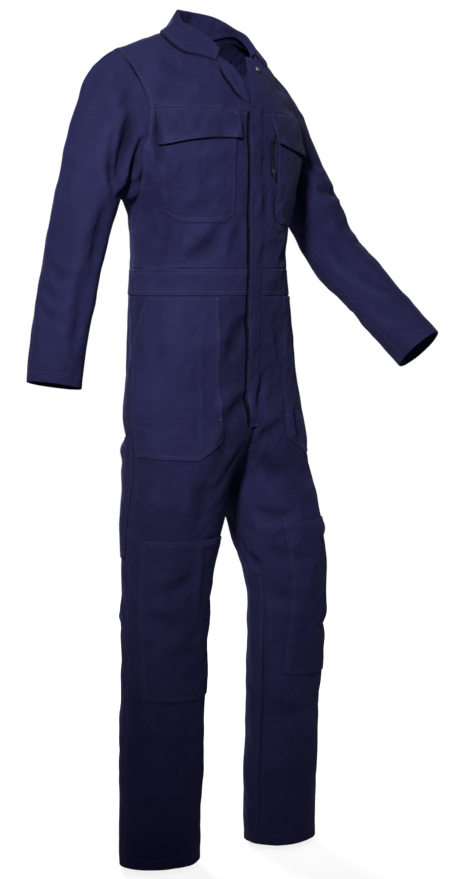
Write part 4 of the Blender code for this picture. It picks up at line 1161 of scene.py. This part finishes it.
for shares in ((-0.42, -0.66, -0.92, 0.80, 0.86, 0.88), (0.40, 0.62, 0.90, 0.84, 0.88, 0.86),
               (-0.20, 0.00, 0.22, 0.88, 0.84, 0.88)):
    t = np.linspace(0, 1, 16)
    u, v = (np.interp(t, (0, 0.5, 1), values) for values in (shares[:3], shares[3:]))
    creases.append(dict(line=collarPlace(u, v), width=0.0032, depth=0.0026, ridge=0.6))
panel("collar", collarPlace, "plain collar collar collar", 1, uRange=(-1, 1), held="folded",
      step=meshStep * 0.6, thickness=collarForm["thickness"], relief=0.5, layer=2)
print("collar turned down")


# ---- thread, laid in the grooves of the cloth

thread = dict(pitch=0.0034, width=0.00080, height=0.00026, below=0.0004, wander=0.00012,
              crown=0.00012, spots=(0.04, 0.16, 0.74, 0.86), waver=1400)


def threadMaterial():
    material, tree, shader = startMaterial("navyThread", {
        "Sheen Weight": 0.05, "Specular IOR Level": 0.15, "Roughness": 0.55,
    })
    place = node(tree, "TexCoord", (-900, 0))["Object"]
    twist = ribs(tree, (-700, 0), place, "DIAGONAL", 900)
    colour = mixed(tree, (-450, 100), twist, (0.034, 0.033, 0.105, 1), (0.068, 0.066, 0.185, 1))
    twisted = bumped(tree, (-450, -200), twist, 0.4, 0.0002)
    feed(tree, shader, {"Base Color": colour, "Normal": twisted})
    return material


navyThread = threadMaterial()


def stitchLines(name, lines, pitch=thread["pitch"], width=thread["width"]):
    # lines: points and normals along each row; the thread dips under the cloth between stitches
    rings, ends = [], []
    for points, normals in lines:
        lengths = lengthsAlong(points, 0)
        count = max(int(lengths[-1] / pitch), 1)
        along = ((np.arange(count)[:, None] + np.array(thread["spots"])) * pitch).reshape(-1)
        rise = np.tile([-thread["below"], thread["height"], thread["height"], -thread["below"]], count)
        spots, facing = (
            np.stack([np.interp(along, lengths, values[:, k]) for k in range(3)], axis=1)
            for values in (points, normals))
        facing = unit(facing)
        sideways = unit(np.cross(facing, unit(np.gradient(spots, axis=0))))
        wander = thread["wander"] * np.sin(along * thread["waver"])[:, None]
        middle = spots + sideways * wander + facing * (rise + thread["crown"])[:, None]
        edge = spots + sideways * wander + facing * rise[:, None]
        rings.append(np.stack([edge - sideways * width / 2, middle, edge + sideways * width / 2],
                              axis=1))
        ends.append(len(spots))
    rings = np.concatenate(rings)
    bm = gridOf(len(rings), 3)
    for vertex, spot in zip(bm.verts, rings.reshape(-1, 3)):
        vertex.co = spot
    last = set((np.cumsum(ends)[:-1] - 1).tolist())      # the rows where one line ends
    joining = [face for face in bm.faces if min(v.index for v in face.verts) // 3 in last
               and max(v.index for v in face.verts) // 3 - 1 in last]
    bmesh.ops.delete(bm, geom=joining, context="FACES")
    mesh = meshOf(name, bm)
    facing = mesh.polygons[len(mesh.polygons) // 2]
    nearest = lines[len(lines) // 2][1]
    if Vector(nearest[len(nearest) // 2]).dot(facing.normal) < 0 and len(lines) == 1:
        mesh.flip_normals()
    setSmooth(mesh)
    obj = addObject(name, mesh)
    finishPiece(obj, navyThread, "navy_twill")
    return obj


def rowsBeside(edges, points, normals):
    lines = []
    for edge, kind in edges.items():
        for index in rowsOf[kind]:
            index = index if edge in ("top", "start") else -1 - index
            row = index if edge in ("top", "bottom") else (slice(None), index)
            lines.append((points[row], normals[row]))
    return lines


stitchCount = 0
for name, made in laidPanels.items():
    lines = rowsBeside(*made)
    if lines:
        rows = stitchLines(name + "Thread", lines)
        stitchCount += len(rows.data.polygons) // 7
print("seams stitched,", stitchCount, "stitches")


def raised(points, across, down, flip, out):
    # points and normals on the finished cloth, for what is laid on it afterwards
    normals = unit(np.cross(across, down)) * flip
    return points + normals * (out + drawIn(points, normals))[..., None], normals


probe = 0.002      # how far apart two places lie from which a direction is read


def onPocket(side, u, v):
    place = partial(hipPocketPanel, side)
    return raised(place(u, v), unit(place(u + probe, v) - place(u - probe, v)),
                  unit(place(u, v + probe) - place(u, v - probe)), -side, layFirst)


def frontWays(x, z):
    # the directions across and down the suit's front
    return (frontPoint(x + probe, z) - frontPoint(x - probe, z),
            frontPoint(x, z - probe) - frontPoint(x, z + probe))


def onFront(x, z, out):
    return raised(frontPoint(x, z), *frontWays(x, z), -1, out)


# rows of stitches that follow no edge, and bar tacks where a seam takes a pull
span = np.linspace(0, 1, 40)
lines = []
for side in (right, left):
    mouth = between(hipPocket["mouthStart"], 0.995, span)
    for depth in (0.007, 0.030):
        lines.append(onPocket(side, mouth, np.full(40, depth)))
    low = hipPocket["bottom"] + hipPocket["rise"] * span
    level = (hipPocket["bagRow"] - hipPocket["top"]) / (low - hipPocket["top"])
    lines.append(onPocket(side, span * 0.985 + 0.01, level))
flyCurve = dict(top=-0.560, turn=-0.600, bottom=-0.676, reach=0.076, x=0.034)
down = np.linspace(flyCurve["top"], flyCurve["bottom"], 40)
turn = np.clip((flyCurve["turn"] - down) / flyCurve["reach"], 0, 1)
for inset in (0.0, 0.006):
    x = (flyCurve["x"] - inset) * np.sqrt(1 - turn ** 2) + 0.001
    lines.append(onFront(x, np.linspace(flyCurve["top"], flyCurve["bottom"] + inset, 40), 0.0004))
stitchLines("pocketAndFlyRowsThread", lines)

tacks = [(side * x, z, length, 0.0, out + 0.0002) for side in (right, left)
         for x, z, length, out in ((0.0855, -0.4345, 0.009, layFirst), (0.0865, -0.648, 0.009, layFirst),
                                   (0.0555, -0.1065, 0.008, laySecond))]
tacks += [(0.0, -0.660, 0.009, 0.0, layGap + layFirst), (0.012, -0.642, 0.0, 0.009, layGap + layFirst)]
short = np.linspace(-0.5, 0.5, 8)
stitchLines("barTacksThread", [onFront(x + wide * short, z + high * short, out)
                               for x, z, wide, high, out in tacks], pitch=0.0011, width=0.0024)
print("bar tacks sewn")


# ---- metal: the pocket zip and the stud

def metalMaterial(name, colour, roughness, scratch):
    material, tree, shader = startMaterial(name, {"Metallic": 1.0})
    place = node(tree, "TexCoord", (-900, 0))["Object"]
    dull = clouds(tree, (-700, 0), place, scratch, 4)
    tint = mixed(tree, (-400, 150), dull, shaded(colour, 0.75), shaded(colour))
    rough = ranged(tree, (-400, -150), dull, unitRange, (roughness - 0.1, roughness + 0.15))
    feed(tree, shader, {"Base Color": tint, "Roughness": rough})
    return material


plated = metalMaterial("platedMetal", (0.80, 0.80, 0.82), 0.28, 900)
toothMetal = metalMaterial("toothMetal", (0.42, 0.42, 0.46), 0.22, 1400)
darkMetal = metalMaterial("darkMetal", (0.10, 0.10, 0.13), 0.4, 700)


def surfaceFrame(x, z, out):
    # turns what is built flat, with X across and Y up the suit, to lie on its front
    spot = frontPoint(x, z)
    across, down = (Vector(way) for way in frontWays(x, z))
    normal = np.array(down.cross(across).normalized())
    normal = normal if normal[1] < 0 else -normal
    lift = float(drawIn(spot[None], normal[None])[0])
    normal = Vector(normal)
    upright = (-down - normal * normal.dot(-down)).normalized()
    sideways = upright.cross(normal).normalized()
    turn = Matrix((sideways, upright, normal)).transposed().to_4x4()
    return Matrix.Translation(Vector(spot) + normal * (out + lift)) @ turn


def addMetal(name, bm, material, slotName, smooth=True):
    bmesh.ops.recalc_face_normals(bm, faces=bm.faces)
    mesh = meshOf(name, bm)
    setSmooth(mesh, smooth)
    obj = addObject(name, mesh)
    finishPiece(obj, material, slotName)
    return obj


def addBlock(bm, size):
    made = bmesh.ops.create_cube(bm, size=1.0)["verts"]
    bmesh.ops.scale(bm, vec=size, verts=made)
    return made


tape = panel("chest_zip", zipPlacing, "plain plain plain plain", -1, held="laid", on=["front_left"],
             out=layFirst, thickness=0.0010, step=0.002, layer=2)
tapeTwill = twillMaterial("tapeTwill", 0.30)
tape.data.materials.clear()
tape.data.materials.append(tapeTwill)

zipper = dict(pitch=0.0022, tooth=(0.0021, 0.0011, 0.0010), top=-0.1475, bottom=-0.2105)
bm = bmesh.new()
middleX = sum(zipPlace["x"]) / 2
z, sideNow = zipper["top"], 1
while z > zipper["bottom"]:
    made = addBlock(bm, zipper["tooth"])
    bmesh.ops.translate(bm, vec=(sideNow * 0.0006, 0, 0), verts=made)
    bmesh.ops.transform(bm, matrix=surfaceFrame(middleX, z, layFirst + 0.0006), verts=made)
    sideNow = -sideNow
    z -= zipper["pitch"] / 2
addMetal("zipTeeth", bm, toothMetal, "stud_metal", smooth=False)

slider = dict(body=(0.0062, 0.0078, 0.0024), pull=(0.0034, 0.0150, 0.0010), at=-0.2060)
for name, part, rounding, drop, out in (("zipSlider", "body", 0.0007, 0.0, 0.0018),
                                        ("zipPull", "pull", 0.0004, 0.0070, 0.0036)):
    bm = bmesh.new()
    addBlock(bm, slider[part])
    bmesh.ops.bevel(bm, geom=bm.edges[:], offset=rounding, offset_type="OFFSET", segments=2,
                    profile=0.5, affect="EDGES", material=-1)
    bmesh.ops.transform(bm, matrix=surfaceFrame(middleX, slider["at"] - drop, layFirst + out),
                        verts=bm.verts)
    addMetal(name, bm, darkMetal, "zip_tape")

# a stud's cap, turned from its section: radius and height in millimetres
studCap = dict(place=(0.0315, -0.021), section=[
    (0.0, 1.9), (1.2, 1.85), (2.2, 1.55), (2.7, 1.15), (3.1, 1.10), (3.5, 1.75), (4.2, 2.15),
    (4.8, 1.85), (5.2, 1.10), (5.2, 0.0)])
bm = bmesh.new()
chain = [bm.verts.new((r / 1000, 0, h / 1000)) for r, h in studCap["section"]]
edges = [bm.edges.new(pair) for pair in zip(chain, chain[1:])]
bmesh.ops.spin(bm, geom=chain + edges, cent=(0, 0, 0), axis=(0, 0, 1), angle=math.tau, steps=40,
               use_merge=True, use_duplicate=False)
bmesh.ops.remove_doubles(bm, verts=bm.verts, dist=0.00002)
bmesh.ops.contextual_create(bm, geom=[edge for edge in bm.edges if edge.is_boundary])
bmesh.ops.transform(bm, matrix=surfaceFrame(*studCap["place"], layGap + layFirst + 0.0004),
                    verts=bm.verts)
stud = addMetal("studCap", bm, plated, "stud_metal")
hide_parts("press_stud")
print("zip and stud set")


# ---- camera, light and floor

cameraData = bpy.data.cameras.new("camera")
assign(cameraData, dict(lens=84, sensor_width=36, shift_x=0.0131, shift_y=-0.1758,
                        clip_start=0.05))
camera = addObject("camera", cameraData)
camera.location = (-2.6517, -2.6517, -0.41)
camera.rotation_euler = (math.radians(90), 0, math.radians(-45))
bpy.context.scene.camera = camera


def lamp(name, kind, place, target, power, **values):
    data = bpy.data.lights.new(name, kind)
    data.energy = power
    assign(data, values)
    aim = Vector(target) - Vector(place)
    turned = aim.to_track_quat("-Z", "Y").to_matrix().to_4x4()
    addObject(name, data).matrix_world = Matrix.Translation(place) @ turned


# the key stands high on the wearer's right and fades towards the hems
lighting = dict(key=285, fill=4.0, side=7, back=55, top=6, ambient=0.04)
lamp("keyLight", "SPOT", (-2.15, -1.45, 0.62), (-0.05, -0.05, -0.16), lighting["key"],
     spot_size=math.radians(52), spot_blend=1.0, shadow_soft_size=0.18)
lamp("fillLight", "AREA", (0.6, -3.0, 0.3), (0, 0, -0.6), lighting["fill"], size=1.2)
lamp("sideLight", "AREA", (2.6, 0.6, 0.5), (0, 0, -0.6), lighting["side"], size=1.2)
lamp("backLight", "AREA", (1.2, 2.6, 0.9), (0, 0, -0.5), lighting["back"], size=1.0)
lamp("topLight", "AREA", (-0.9, 1.1, 1.8), (0, 0, -0.2), lighting["top"], size=0.8)

world = bpy.data.worlds.new("studio")
world.use_nodes = True
tree = world.node_tree
seen = node(tree, "LightPath", (-500, 0))["Is Camera Ray"]
strength = ranged(tree, (-250, 0), seen, unitRange, (lighting["ambient"], 1.0))
feed(tree, tree.nodes["Background"], {"Color": (1, 1, 1, 1), "Strength": strength})
bpy.context.scene.world = world
bpy.context.scene.view_settings.view_transform = "Standard"

bm = bmesh.new()
bmesh.ops.create_circle(bm, cap_ends=True, segments=96, radius=14)
floorMesh = meshOf("floor", bm)
floorMesh.transform(Matrix.Translation((0, 0, levels["hem"] - 0.012)))
floor = addObject("floor", floorMesh)
floorMaterial, tree, shader = startMaterial("paleFloor", {
    "Base Color": (0.55, 0.55, 0.55, 1), "Emission Color": (1, 1, 1, 1),
    "Roughness": 0.9, "Specular IOR Level": 0.0,
})
# the floor pales to the backdrop's white with distance, as a lit studio floor does
place = node(tree, "TexCoord", (-900, 0))["Object"]
distance = node(tree, "VectorMath", (-700, 0), {0: place}, operation="LENGTH")["Value"]
pale = ranged(tree, (-500, 0), distance, (1.6, 5.0), (0.86, 0.97), interpolation_type="SMOOTHSTEP")
seen = node(tree, "LightPath", (-500, -300))["Is Camera Ray"]
feed(tree, shader, {"Emission Strength": maths(tree, (-300, -100), "MULTIPLY", pale, seen)})
floorMesh.materials.append(floorMaterial)

print("boiler suit: done")
